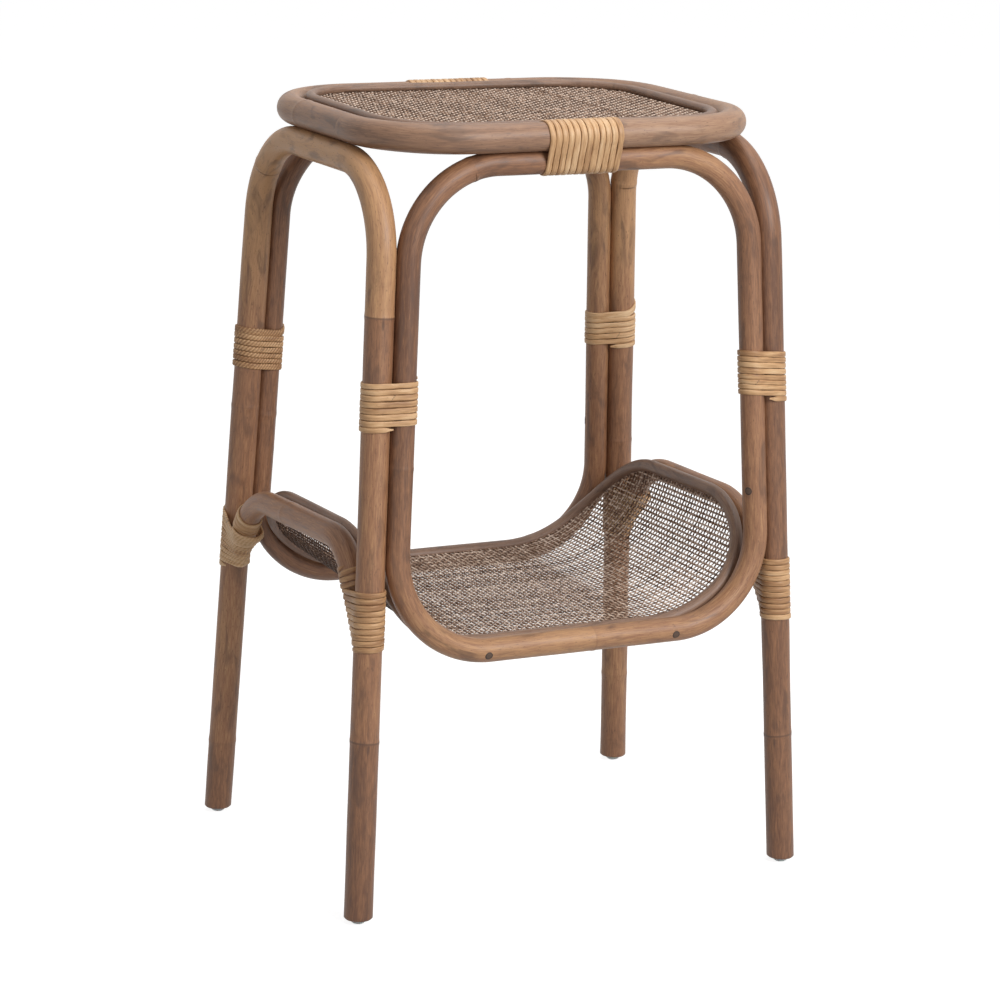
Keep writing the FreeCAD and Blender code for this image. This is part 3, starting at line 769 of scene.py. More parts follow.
@dataclass(frozen=True)
class Skeleton:
    """Where the table's poles run, worked out from its driving sizes."""

    height: float = 695.6
    gap: float = 0.3
    leg_r: float = 12.7
    loop_r: float = 11.0
    stretcher_r: float = 11.0
    ring_r: float = 12.7
    rim_r: float = 6.0
    floor_x: float = 214.9
    floor_y: float = 165.8
    lean_x: float = 0.0436
    lean_y: float = 0.0503
    post_turn: float = 14.0
    post_press: float = 0.8
    ring_inset_x: float = 5.3
    ring_outset_y: float = 7.8
    ring_shift: Span = (-2.0, 0.6)
    stretcher_z: float = 327.5
    stretcher_outset: float = 4.0
    stretcher_ends: Tuple[StretcherRun, ...] = (
        StretcherRun(333.5, 42.0, 8.0, 3.0, 248.0, 297.0),
        StretcherRun(322.8, 76.0, 7.0, 3.0, 250.0, 290.0),
        StretcherRun(327.5, 76.0, 0.5, 0.0, 237.0, 275.0),
        StretcherRun(323.1, 78.0, 0.5, 0.0, 243.0, 280.0),
    )
    tip_r: float = 3.5
    least_r: float = 0.6
    steepest: float = 0.9
    shelf_depth: float = 93.4
    shelf_twist: float = 4.5
    shelf_sag: float = 1.5
    shelf_back_lift: float = 1.8
    shelf_back_reach: float = 2.2
    shelf_bulge: float = 8.0
    back_loop_drop: float = 4.5
    rim_tuck: float = 12.0
    rim_lift: float = 16.0
    rim_press: float = 1.0
    shelf_bend: float = 113.0
    rim_bend: float = 90.0

    @property
    def ring_z(self) -> float:
        """Height of the ring's centre line."""
        return self.height - self.ring_r

    @property
    def arch_top(self) -> float:
        """Height of a leg arch's top rail."""
        return self.ring_z - math.sqrt((self.ring_r + self.leg_r + self.gap) ** 2 - self.ring_inset_x ** 2)

    @property
    def loop_top(self) -> float:
        """Height of a loop's top rail."""
        return self.ring_z - math.sqrt((self.ring_r + self.loop_r + self.gap) ** 2 - self.ring_outset_y ** 2)

    @property
    def loop_bottom(self) -> float:
        """Height of the front loop's bottom rail."""
        return self.stretcher_z - self.shelf_depth

    @property
    def ring_x(self) -> float:
        """Half length of the ring's centre line."""
        return self.floor_x - self.lean_x * self.arch_top - self.ring_inset_x

    @property
    def ring_y(self) -> float:
        """Half width of the ring's centre line."""
        return float(self.post(self.loop_top, 1, 1)[1]) + self.ring_outset_y

    @property
    def touch(self) -> float:
        """Distance between the axes of a leg and a stretcher beside it."""
        return self.leg_r + self.stretcher_r + self.gap

    @property
    def slant(self) -> float:
        """Length of a leg's axis for each unit of height."""
        return math.sqrt(1 + self.lean_x ** 2 + self.lean_y ** 2)

    @property
    def rim_z(self) -> float:
        """Height of the shelf's flat middle."""
        reach = self.loop_r + self.rim_r + self.gap
        return self.loop_bottom + reach * math.sin(math.radians(self.rim_tuck))

    @property
    def rim_y(self) -> float:
        """Half width of the shelf rim's centre line, which is pressed a little against the loops."""
        reach = self.loop_r + self.rim_r + self.gap - self.rim_press
        return float(self.post(self.loop_bottom, 1, 1)[1]) - reach * math.cos(math.radians(self.rim_tuck))

    @property
    def shelf_angle(self) -> float:
        """Angle through which the shelf bends up to each end.

        Returns:
            The angle in radians.
        """
        reach = self.stretcher_r + self.rim_r + self.gap
        rise = self.stretcher_z + reach * math.sin(math.radians(self.rim_lift)) - self.rim_z
        return math.acos(1 - rise / self.shelf_bend)

    @property
    def shelf_flat(self) -> float:
        """Half length of the shelf's flat middle.

        Returns:
            The half length.
        """
        reach = self.stretcher_r + self.rim_r + self.gap
        end_x = self.floor_x - self.lean_x * self.stretcher_z + self.stretcher_outset
        end_x -= reach * math.cos(math.radians(self.rim_lift))
        return end_x - self.shelf_bend * math.sin(self.shelf_angle)

    @property
    def shelf_reach(self) -> float:
        """Half length of the shelf along its bend, to the rim's centre line."""
        return self.shelf_flat + self.shelf_bend * self.shelf_angle

    def bottom_rail(self, end: int) -> float:
        """Height of one loop's bottom rail, which hangs lower at the back."""
        return self.loop_bottom - (self.back_loop_drop if end > 0 else 0.0)

    def leg(self, z: float, side: int, end: int) -> Array:
        """Point on a leg's axis at a height."""
        return np.array([side * (self.floor_x - self.lean_x * z), end * (self.floor_y - self.lean_y * z), z])

    def leg_axis(self, side: int, end: int) -> Array:
        """Unit vector up along a leg."""
        return unit(np.array([-side * self.lean_x, -end * self.lean_y, 1.0]))

    def post(self, z: float, side: int, end: int) -> Array:
        """Point on the axis of the loop's post, which is pressed against a leg.

        Args:
            z: height above the floor.
            side: -1 for the left, 1 for the right.
            end: -1 for the front, 1 for the back.

        Returns:
            The point.
        """
        reach = self.leg_r + self.loop_r + self.gap - self.post_press
        turn = math.radians(self.post_turn)
        return self.leg(z, side, end) + reach * np.array([-side * math.cos(turn), end * math.sin(turn), 0.0])

    def stretcher_run(self, side: int, end: int) -> StretcherRun:
        """How a stretcher runs at one end: left front, left back, right front or right back."""
        return self.stretcher_ends[(side > 0) * 2 + (end > 0)]

    def bend_start(self, side: int, end: int) -> float:
        """Height at which a stretcher's end starts to bend.

        Args:
            side: -1 for the left, 1 for the right.
            end: -1 for the front, 1 for the back.

        Returns:
            The height.
        """
        run = self.stretcher_run(side, end)
        half = math.acos(-self.lean_y / self.slant) / 2
        return run.corner_z - run.bend / math.tan(half) / self.slant

    def stretcher_way(self, outset: float, side: int, end: int) -> Array:
        """Unit vector, level, from a leg to a stretcher that stands an outset outside it."""
        return np.array([side * outset, -end * math.sqrt(self.touch ** 2 - outset ** 2), 0.0]) / self.touch

    def stretcher_end(self, z: float, side: int, end: int) -> Array:
        """Point on the unwhittled end of a stretcher, which leaves the leg's side towards its corner.

        Args:
            z: height above the floor.
            side: -1 for the left, 1 for the right.
            end: -1 for the front, 1 for the back.

        Returns:
            The point.
        """
        run = self.stretcher_run(side, end)
        outset = run.outset if z >= run.corner_z else run.foot_outset
        return self.leg(z, side, end) + self.touch * self.stretcher_way(outset, side, end)

    def taper_radius(self, z: Array, side: int, end: int) -> Array:
        """Radius of a stretcher's end at heights, down its taper and a little beyond the tip.

        Args:
            z: heights above the floor.
            side: -1 for the left, 1 for the right.
            end: -1 for the front, 1 for the back.

        Returns:
            The radius at each height.
        """
        run = self.stretcher_run(side, end)
        share = np.minimum((z - run.tip_z) / (run.taper_top - run.tip_z), 1.0)
        return np.maximum(self.tip_r + share * (self.stretcher_r - self.tip_r), self.least_r)

    def stretcher_foot(self, z: Array, side: int, end: int) -> Tuple[Array, Array, Array]:
        """Radius, slope and distance from the leg's axis of a stretcher's tapered and bent end.

        Args:
            z: heights above the floor.
            side: -1 for the left, 1 for the right.
            end: -1 for the front, 1 for the back.

        Returns:
            Radius, slope and distance at each height.
        """
        bend = self.stretcher_run(side, end).bend
        radius = self.taper_radius(z, side, end)
        slope = np.arcsin(np.clip((z - self.bend_start(side, end)) / bend, 0.0, self.steepest))
        return radius, slope, self.leg_r + self.gap + radius + bend * (1 - np.cos(slope))

    def shelf(self, along: Array, across: Array) -> Pair:
        """Points and upward normals on the shelf's middle surface.

        The surface is flat near the middle, and bends up on a circle at both ends. The back edge is lifted a
        little in the flat and reaches back to its loop. Where the surface rises it twists: the front edge
        stands higher than the back. The bend at the front left bulges outwards, most half-way up.

        Args:
            along: distance from the middle along the bend.
            across: distance from the middle towards the back.

        Returns:
            Points and unit normals.
        """
        side = np.sign(along)
        angle = np.maximum(np.abs(along) - self.shelf_flat, 0.0) / self.shelf_bend
        x = side * (np.minimum(np.abs(along), self.shelf_flat) + self.shelf_bend * np.sin(angle))
        back = across / self.rim_y
        near_back = (0.5 + 0.5 * back) * np.cos(angle)
        lift = self.shelf_back_lift * near_back
        rise = self.shelf_bend - self.shelf_sag - self.shelf_twist * back
        z = self.rim_z + lift + rise * (1 - np.cos(angle))
        normals = np.stack([-side * np.sin(angle), np.zeros_like(angle), np.cos(angle)], axis=-1)
        bulge = self.shelf_bulge * (0.5 - 0.5 * back) * np.sin(math.pi * angle / self.shelf_angle) ** 2
        points = np.stack([x, across + self.shelf_back_reach * near_back, z], axis=-1)
        return points - normals * np.where(along < 0, bulge, 0.0)[..., None], normals


@dataclass
class Pole:
    """A rattan pole along a path: nearly round, with a low ridge at each knuckle."""

    path: Path
    reference: Array
    radius: Array
    seed: int
    knuckles: Sequence[float] = ()
    sides: int = 40
    # Places along the pole with their tones: the cane's own tone, and painted light and shade too.
    tone_and_shade: Shades = ()
    tone_spread: float = 0.05
    oval: float = 0.010
    swell: float = 0.012
    ridge: float = 0.35
    ridge_width: float = 2.6
    seen: Sequence[float] = ()
    faint: float = 0.25
    mark_width: float = 0.9
    scar_turn: float = 4.25
    scar_size: Span = (1.6, 5.5)
    level_ends: bool = False
    level_fade: float = 25.0
    level_least: float = 0.5
    turn_wave: float = 420.0
    swell_wave: float = 160.0
    knuckle_slant: float = 0.5
    scar_sway: float = 0.4
    grain_step: float = 900.0
    no_knuckle: float = 1e3

    def surface(self) -> Surface:
        """The pole's skin.

        A ring of points round each path point: radius times one plus a slow swell and a slight oval, plus a
        ridge that falls off as a bell curve from each knuckle. A bud scar is a bell curve too, below each
        knuckle. The grain attribute is the point in the pole's section and its run along the pole.

        Returns:
            The surface with its grain, tone, knuckle and scar attributes.
        """
        run = self.path.run()[:, None]
        length = self.path.length()
        angle = (np.arange(self.sides) / self.sides * FULL_TURN)[None]
        turn = wander(run, length, self.turn_wave, self.seed + 1) * 2
        radius = np.broadcast_to(self.radius, (len(run),))[:, None]
        gaps = np.full((len(run), self.sides), self.no_knuckle)
        marks = np.zeros_like(gaps)
        scars = np.zeros_like(gaps)
        round_size, long_size = self.scar_size
        for knuckle in self.knuckles:
            strength = 1.0 if knuckle in self.seen else self.faint
            gap = np.abs(run - knuckle + self.knuckle_slant * np.sin(angle + knuckle))
            gaps = np.minimum(gaps, gap)
            marks = np.maximum(marks, strength * np.exp(-(gap / self.mark_width) ** 2))
            scar_angle = angle - self.scar_turn - self.scar_sway * math.sin(knuckle)
            aside = np.sin(scar_angle / 2) * 2 * radius / round_size
            below = (run - knuckle + long_size) / long_size
            scars = np.maximum(scars, strength * np.exp(-aside ** 2 - below ** 2))
        swell = self.swell * wander(run, length, self.swell_wave, self.seed)
        rings = radius * (1 + swell + self.oval * np.cos(2 * angle + turn))
        rings = rings + self.ridge * np.exp(-(gaps / self.ridge_width) ** 2)
        first, second = self.path.frames(self.reference)
        across = rings * np.cos(angle)
        upward = rings * np.sin(angle)
        offsets = first[:, None] * across[..., None] + second[:, None] * upward[..., None]
        points = self.path.points[:, None] + offsets
        if self.level_ends:
            tangents = self.path.tangents()[:, None]
            fade = 1 - ease(0.0, self.level_fade, np.minimum(run, length - run))
            steep = np.where(np.abs(tangents) > self.level_least, tangents, 1.0)[..., 2:]
            points = points - tangents * (offsets[..., 2:] / steep * fade[..., None])
        faces = grid_faces(len(run), self.sides, self.path.closed)
        if not self.path.closed:
            faces += end_caps(len(run), self.sides)
        attributes = {
            "grain": grain_places(across, upward, run[:, 0], self.grain_step * self.seed),
            "tone": np.repeat(self.tone(run[:, 0]), self.sides),
            "knuckle": marks.reshape(-1),
            "scar": scars.reshape(-1),
        }
        return Surface(points.reshape(-1, 3), faces, attributes)

    def tone(self, run: Array) -> Array:
        """Tone at each place along the pole: its listed tone, which holds painted light and shade too, and a
        small change from knuckle to knuckle.

        Args:
            run: places along the pole.

        Returns:
            The tone at each place.
        """
        edges = np.sort(np.array(self.knuckles))
        tones = np.random.default_rng(self.seed + 5).normal(0.0, self.tone_spread, len(edges) + 1)
        if self.path.closed:
            tones[-1] = tones[0]
        places, tone_and_shade = np.array(self.tone_and_shade or ((0.0, 0.0),)).T
        period = self.path.length() if self.path.closed else None
        return tones[np.searchsorted(edges, run)] + np.interp(run, places, tone_and_shade, period=period)


def spread_knuckles(length: float, spacing: float, seed: int, fixed: Sequence[float] = ()) -> List[float]:
    """Places of a pole's knuckles: those seen, and others spread unevenly between and beyond them.

    Args:
        length: length of the pole.
        spacing: usual distance between knuckles.
        seed: seed of the unevenness.
        fixed: places that are known.

    Returns:
        All places along the pole.
    """
    rng = np.random.default_rng(seed)
    places = list(fixed)
    place = spacing * rng.uniform(*FIRST_KNUCKLE)
    while place < length:
        if min([abs(place - known) for known in fixed] + [length]) > KNUCKLE_ROOM * spacing:
            places.append(place)
        place += spacing * rng.uniform(*KNUCKLE_STEPS)
    return places


def pin(start: Array, toward: Array, profile: Sequence[Span]) -> Surface:
    """Steel pin: a profile of distances and radii turned about the line from its start.

    Args:
        start: point where the pin starts.
        toward: unit direction of the pin.
        profile: distances along it, with their radii.

    Returns:
        The closed surface.
    """
    across, sideways = Path(np.array([start, start + toward]), False).frames(PIN_REFERENCE)
    angle = np.arange(PIN_SIDES) / PIN_SIDES * FULL_TURN
    ring = across[0] * np.cos(angle)[:, None] + sideways[0] * np.sin(angle)[:, None]
    sizes = np.array(profile)
    points = start + toward * sizes[:, 0, None, None] + ring * sizes[:, 1, None, None]
    faces = grid_faces(len(sizes), len(angle), False) + end_caps(len(sizes), len(angle))
    return Surface(points.reshape(-1, 3), faces, {})


@dataclass
class PoleFrame:
    """The bent poles: leg arches, loops, stretchers, top ring and shelf rim."""

    skeleton: Skeleton
    step: float = 2.6
    arch_bend: float = 80.2
    loop_top_bend: float = 86.0
    loop_bottom_bend: float = 81.8
    front_left_bend: float = 89.0
    ring_bend: float = 84.4
    leg_foot: float = 4.5
    leg_chamfer: float = 1.2
    stretcher_straight: float = 4.0
    knee_bend: float = 15.0
    nail_r: float = 1.1
    nail_bite: float = 12.0
    knuckle_spacing: float = 270.0
    loop_knuckles: Tuple[float, ...] = (330.0, 690.0, 1010.0, 1290.0)
    left_arch_knuckles: Tuple[float, ...] = (159.3, 530.1)
    right_arch_knuckles: Tuple[float, ...] = (118.3,)
    # Tone along each arch and loop, by run from its start in millimetres. It is partly the cane's own tone
    # from internode to internode and partly painted light and shade: lighter high on the legs, darker low
    # down and under the lashings, and a painted shadow at the foot of the front loop's left post.
    left_arch_tone_and_shade: Shades = (
        (0, -0.18), (158, -0.1), (160, -0.05), (400, 0.02), (529, -0.08), (531, 0.12), (900, 0.3),
        (1017, 0.06), (1110, -0.09), (1350, 0.04), (1490, -0.1)
    )
    right_arch_tone_and_shade: Shades = (
        (0, -0.17), (117, -0.14), (119, -0.11), (420, -0.13), (540, -0.19), (780, 0.0), (930, 0.24),
        (985, 0.23), (1070, -0.01), (1140, -0.06), (1420, 0.07), (1490, -0.04)
    )
    front_loop_tone_and_shade: Shades = (
        (0, -0.02), (110, 0.12), (200, -0.08), (390, 0.03), (680, 0.12), (860, 0.07), (950, -0.12),
        (1160, -0.25), (1270, -0.09)
    )
    back_loop_tone_and_shade: Shades = (
        (0, 0.05), (240, 0.14), (420, -0.06), (690, -0.05), (860, -0.13), (1290, -0.08)
    )
    even: float = 0.015
    knuckle_points: Tuple[float, ...] = (-2.4, -1.6, -0.8, 0.0, 0.8, 1.6, 2.4)
    ring_seam: float = 0.678
    thin_sides: int = 36
    rim_sides: int = 24
    rim_ridge: float = 0.2
    arch_seed: int = 11
    loop_seed: int = 21
    stretcher_seed: int = 31
    ring_seed: int = 41
    rim_seed: int = 51

    def build(self) -> None:
        """Makes and dresses every pole."""
        pole = POLE_FINISH.material()
        edge = EDGE_FINISH.material()
        ring = RING_GREYED_FOR_SHEEN.material()
        for number, side in enumerate(Side):
            name = side.name.lower()
            arch = self.arch(side.value, self.arch_seed + number)
            make_piece(name + "_arch_pole", arch, pole, [name + "_leg_arch"])
            stretcher = self.stretcher(side.value, self.stretcher_seed + number)
            make_piece(name + "_stretcher_pole", stretcher, pole, [name + "_stretcher"])
        for number, end in enumerate(End):
            name = end.name.lower()
            loop = self.loop(end.value, self.loop_seed + number)
            make_piece(name + "_loop_pole", loop, pole, [name + "_loop"])
        steel = CARRIED_FINISHES[Slot.STEEL].material()
        make_piece("stretcher_nail_pins", self.stretcher_nails(), steel, ["stretcher_nails"])
        make_piece("top_ring_pole", self.ring(self.ring_seed), ring, ["top_ring"])
        make_piece("shelf_rim_pole", self.rim(self.rim_seed), edge, ["shelf_rim"])

    def knuckled(self, path: Path, seed: int, seen: Sequence[float] = ()) -> Tuple[Path, List[float]]:
        """A path with more points round its knuckles, and the knuckles' places."""
        knuckles = spread_knuckles(path.length(), self.knuckle_spacing, seed, seen)
        return path.refined(knuckles, self.knuckle_points), knuckles

    def arch(self, side: int, seed: int) -> Surface:
        """One side's two legs and the rail between them, cut level at the feet.

        Args:
            side: -1 for the left, 1 for the right.
            seed: seed of its unevenness.

        Returns:
            The pole's surface.
        """
        bones = self.skeleton
        ends = [(-1, self.leg_foot), (-1, bones.arch_top), (1, bones.arch_top), (1, self.leg_foot)]
        corners = np.array([bones.leg(z, side, end) for end, z in ends])
        path = open_path(corners, [self.arch_bend] * 2, self.step, self.leg_chamfer)
        seen = self.left_arch_knuckles if side < 0 else self.right_arch_knuckles
        tone_and_shade = self.left_arch_tone_and_shade if side < 0 else self.right_arch_tone_and_shade
        path, knuckles = self.knuckled(path, seed, seen)
        run = path.run()
        to_end = np.minimum(run, path.length() - run)
        radius = bones.leg_r - self.leg_chamfer * (1 - np.minimum(to_end / self.leg_chamfer, 1.0))
        pole = Pole(
            path, X_WAY, radius, seed, knuckles,
            tone_and_shade=tone_and_shade, tone_spread=self.even, seen=seen, level_ends=True
        )
        return pole.surface()

    def loop(self, end: int, seed: int) -> Surface:
        """Front or back loop, whose ends meet under the lashing at its top.

        Args:
            end: -1 for the front, 1 for the back.
            seed: seed of its unevenness.

        Returns:
            The pole's surface.
        """
        bones = self.skeleton
        bottom = bones.bottom_rail(end)
        places = [(1, bones.loop_top), (1, bottom), (-1, bottom), (-1, bones.loop_top)]
        corners = np.array([bones.post(z, side, end) for side, z in places])
        high = self.loop_top_bend
        low = self.loop_bottom_bend
        low_left = self.front_left_bend if end < 0 else low
        path = closed_path(corners, [high, low, low_left, high], self.step)
        path = path.refined(self.loop_knuckles, self.knuckle_points)
        pole = Pole(
            path, Y_WAY, np.array(bones.loop_r), seed, self.loop_knuckles, self.thin_sides,
            tone_and_shade=self.front_loop_tone_and_shade if end < 0 else self.back_loop_tone_and_shade, tone_spread=self.even
        )
        return pole.surface()

    def stretcher_path(self, side: int) -> Path:
        """Centre line of a stretcher, from the tip of one taper to the other.

        The line of an even pole is cut off at the tips. Along each taper it is moved towards the leg by as
        much as the radius is less, so that the whittled end stays against the leg.

        Args:
            side: left or right.

        Returns:
            The open path.
        """
        bones = self.skeleton
        runs = {end: bones.stretcher_run(side, end) for end in (-1, 1)}
        corners = []
        for end, run in runs.items():
            knee = bones.bend_start(side, end) - self.stretcher_straight
            low = min(run.tip_z, knee) - self.stretcher_straight
            stretch = [bones.stretcher_end(z, side, end) for z in (low, knee, run.corner_z)]
            corners += stretch if end < 0 else stretch[::-1]
        bends = [self.knee_bend, runs[-1].bend, runs[1].bend, self.knee_bend]
        points = open_path(np.array(corners), bends, self.step, 1.0).points
        tips = np.where(points[:, 1] < 0, runs[-1].tip_z, runs[1].tip_z)
        points = points[points[:, 2] >= tips]
        for end, run in runs.items():
            thinner = bones.stretcher_r - bones.taper_radius(points[:, 2], side, end)
            whittled = np.where(points[:, 1] * end > 0, thinner, 0.0)
            points = points - bones.stretcher_way(run.foot_outset, side, end) * whittled[:, None]
        return Path(points, False)

    def stretcher(self, side: int, seed: int) -> Surface:
        """End pole of the shelf, whittled to a taper at both ends.

        Args:
            side: -1 for the left, 1 for the right.
            seed: seed of its unevenness.

        Returns:
            The pole's surface.
        """
        bones = self.skeleton
        path, knuckles = self.knuckled(self.stretcher_path(side), seed)
        front, back = (bones.taper_radius(path.points[:, 2], side, end) for end in (-1, 1))
        radius = np.where(path.points[:, 1] < 0, front, back)
        pole = Pole(path, X_WAY, radius, seed, knuckles, self.thin_sides, tone_spread=self.even)
        return pole.surface()

    def stretcher_nails(self) -> Surface:
        """Nails through the middle of each stretcher's taper into its leg.

        Returns:
            The nails as one surface.
        """
        bones = self.skeleton
        nails = []
        for side, end in ((-1, -1), (-1, 1), (1, -1), (1, 1)):
            run = bones.stretcher_run(side, end)
            z = (run.tip_z + run.taper_top) / 2
            radius, _, reach = bones.stretcher_foot(np.array(z), side, end)
            way = bones.stretcher_way(run.foot_outset, side, end)
            sunk = radius - 2 * self.nail_r
            length = float(sunk + reach - bones.leg_r + self.nail_bite)
            start = bones.leg(z, side, end) + way * (reach + sunk)
            nails.append(pin(start, -way, [(0.0, self.nail_r), (length, self.nail_r)]))
        return joined_all(nails)

    def ring(self, seed: int) -> Surface:
        """Ring round the top, with its joint in the left side.

        Args:
            seed: seed of its unevenness.

        Returns:
            The pole's surface.
        """
        bones = self.skeleton
        x, y, z = bones.ring_x, bones.ring_y, bones.ring_z
        corners = np.roll(level_corners(x, y, z), -1, axis=0) + np.array([*bones.ring_shift, 0.0])
        path = closed_path(corners, [self.ring_bend] * 4, self.step, self.ring_seam)
        path, knuckles = self.knuckled(path, seed)
        return Pole(path, Z_WAY, np.array(bones.ring_r), seed, knuckles).surface()

    def rim(self, seed: int) -> Surface:
        """Shelf rim: a rounded outline laid on the shelf's bent surface.

        Args:
            seed: seed of its unevenness.

        Returns:
            The pole's surface.
        """
        bones = self.skeleton
        corners = level_corners(bones.shelf_reach, bones.rim_y, 0.0)
        plan = closed_path(corners, [bones.rim_bend] * 4, self.step)
        points, normals = bones.shelf(plan.points[:, 0], plan.points[:, 1])
        path = Path(points, True)
        knuckles = spread_knuckles(path.length(), self.knuckle_spacing, seed)
        radius = np.array(bones.rim_r)
        pole = Pole(path, normals, radius, seed, knuckles, self.rim_sides, ridge=self.rim_ridge)
        return pole.surface()


@dataclass
class Strip:
    """A strip of peel with a flat foot and a rounded crown, laid along a path on a pole."""

    seed: int
    thickness: float = 1.6
    sink: float = 0.25
    crown: Tuple[Span, ...] = (
        (-1.0, 0.0), (-1.0, 0.5), (-0.86, 0.82), (-0.5, 1.0), (-0.1, 0.93),
        (0.4, 1.0), (0.84, 0.82), (1.0, 0.5), (1.0, 0.0),
    )
    tone: float = 0.0
    knurl: float = 0.0
    knurl_pitch: float = 3.4
    knurl_fleck: float = 0.4
    splice_spacing: float = 230.0
    tone_spread: float = 0.05
    edge_wear: float = 0.06
    end_length: float = 9.0
    end_share: float = 0.35
    edge_waves: Span = (23.0, 19.0)
    swell: float = 0.10
    swell_wave: float = 37.0
    slant: float = 0.7
    splice_spread: Span = (0.4, 1.6)
    tone_sway: float = 0.05
    tone_wave: float = 60.0
    grain_step: float = 700.0

    def surface(self, points: Array, outward: Array, half_width: Array) -> Surface:
        """The strip's skin.

        The crown profile is carried along the path: its width runs square to the path and to the outward
        direction, and its height runs outwards. Width and height wander a little, and shrink towards both
        ends. A knurl adds a slanted sine wave to the crown's height and to its tone.

        Args:
            points: path on the pole's skin.
            outward: direction away from the pole at each point.
            half_width: half the strip's width at each point.

        Returns:
            The surface with its grain, tone and splice attributes.
        """
        path = Path(points, False)
        run = path.run()
        length = path.length()
        up, wide = path.frames(outward)
        profile = np.array(self.crown)
        to_end = np.minimum(run, length - run)
        fade = self.end_share + (1 - self.end_share) * ease(0.0, self.end_length, to_end)
        left = 1 + self.edge_wear * wander(run, length, self.edge_waves[0], self.seed)
        right = 1 + self.edge_wear * wander(run, length, self.edge_waves[1], self.seed + 1)
        edge = np.where(profile[None, :, 0] < 0, left[:, None], right[:, None])
        across = profile[None, :, 0] * edge * (half_width * fade)[:, None]
        swell = 1 + self.swell * wander(run, length, self.swell_wave, self.seed + 2)
        slanted = run[:, None] + self.slant * across
        knurl = self.knurl * np.sin(slanted / self.knurl_pitch * FULL_TURN)
        height = profile[None, :, 1] * ((self.thickness * swell * fade)[:, None] + knurl) - self.sink
        skin = points[:, None] + wide[:, None] * across[..., None] + up[:, None] * height[..., None]
        rng = np.random.default_rng(self.seed + 3)
        count = int(length / self.splice_spacing) + 3
        places = np.cumsum(rng.uniform(*self.splice_spread, count)) * self.splice_spacing
        tones = rng.normal(self.tone, self.tone_spread, len(places) + 1)
        sway = self.tone_sway * wander(run, length, self.tone_wave, self.seed + 4)
        tone = tones[np.searchsorted(places, run)] + sway
        splice = np.min(np.abs(slanted[..., None] - places), axis=-1)
        columns = profile.shape[0]
        faces = grid_faces(len(run), columns, False) + end_caps(len(run), columns)
        attributes = {
            "grain": grain_places(across, height, run, self.grain_step * self.seed),
            "tone": (tone[:, None] + self.knurl_fleck * knurl).reshape(-1),
            "splice": splice.reshape(-1),
        }
        return Surface(skin.reshape(-1, 3), faces, attributes)


@dataclass
class Belt:
    """A strip wound round two poles side by side, in even turns with small differences."""

    origin: Array
    to_far: Array
    axis: Array
    near: float
    far: Callable[[Array], Pair]
    turns: float
    pitch: float
    seed: int
    wind: int = 1
    start: float = 0.0
    tail_climb: float = 0.0
    tail_turns: float = 0.3
    lean: float = 0.0
    skew: float = 0.0
    tone: float = 0.0
    knurl: float = 0.0
    step: float = 1.3
    cover: float = 0.92
    unevenness: float = 0.13
    far_allowance: float = 60.0
    width_limits: Span = (0.7, 1.3)

    def heights(self, turned: Array) -> Array:
        """Height along the poles by turns: widths of single turns added up, and a climb in the last part.

        Args:
            turned: turns from the start.

        Returns:
            The height at each of them.
        """
        rng = np.random.default_rng(self.seed)
        count = math.ceil(self.turns) + 3
        widths = self.pitch * rng.uniform(1 - self.unevenness, 1 + self.unevenness, count)
        edges = np.concatenate([[0.0], np.cumsum(widths)])
        places = np.arange(count + 1) - 1
        height = np.interp(turned, places, edges) - np.interp(self.turns / 2, places, edges)
        return height + self.tail_climb * ease(self.turns - self.tail_turns, self.turns, turned)

    def surface(self) -> Surface:
        """The wound strip.

        A turn goes round the near pole, straight to the far one, round it and straight back. In the plane
        square to the poles a place is the pole's centre, plus its radius outwards, plus the straight run
        along the tangent. Which of the four stretches holds follows from the distance gone in the turn. A
        lean slants all turns, higher on the near pole than on the far one, and a skew slants them more and
        more towards the top.

        Returns:
            The strip's surface.
        """
        across_axis = np.cross(self.axis, self.to_far) * self.wind
        step = self.step if self.knurl == 0.0 else self.step / 2
        samples = int(self.turns * (FULL_TURN * self.near + self.far_allowance) / step)
        turned = np.linspace(0.0, self.turns, samples)
        height = self.heights(turned)
        far, reach = self.far(height)
        lean = np.arccos((self.near - far) / reach)
        straight = np.sqrt(reach ** 2 - (self.near - far) ** 2)
        near_run = self.near * 2 * (math.pi - lean)
        far_run = far * 2 * lean
        gone = ((turned + self.start) % 1.0) * (near_run + far_run + 2 * straight)
        stretches = [gone < near_run, gone < near_run + straight, gone < near_run + straight + far_run]
        out_run = gone - near_run
        far_gone = out_run - straight
        angle = np.select(stretches, [lean + gone / self.near, -lean, -lean + far_gone / far], lean)
        still = np.zeros_like(gone)
        slide = np.select(stretches, [still, out_run, still], far_gone - far_run)
        radius = np.where(stretches[1], self.near, far)
        centre = np.where(stretches[1], 0.0, reach)
        x = centre + radius * np.cos(angle) - slide * np.sin(angle)
        y = radius * np.sin(angle) + slide * np.cos(angle)
        slant = self.lean + self.skew * (turned / self.turns) ** 2
        height = height + slant * (0.5 - x / reach)
        place = self.to_far * x[:, None] + across_axis * y[:, None] + self.axis * height[:, None]
        outward = self.to_far * np.cos(angle)[:, None] + across_axis * np.sin(angle)[:, None]
        width = self.heights(turned + 0.5) - self.heights(turned - 0.5)
        least, most = self.width_limits
        half_width = np.clip(width, least * self.pitch, most * self.pitch) * self.cover / 2
        strip = Strip(self.seed, tone=self.tone, knurl=self.knurl)
        return strip.surface(self.origin + place, outward, half_width)


def even_pole(radius: float, reach: float) -> Callable[[Array], Pair]:
    """Radius and distance of a far pole that are the same at all heights."""
    return lambda height: (np.full_like(height, radius), np.full_like(height, reach))


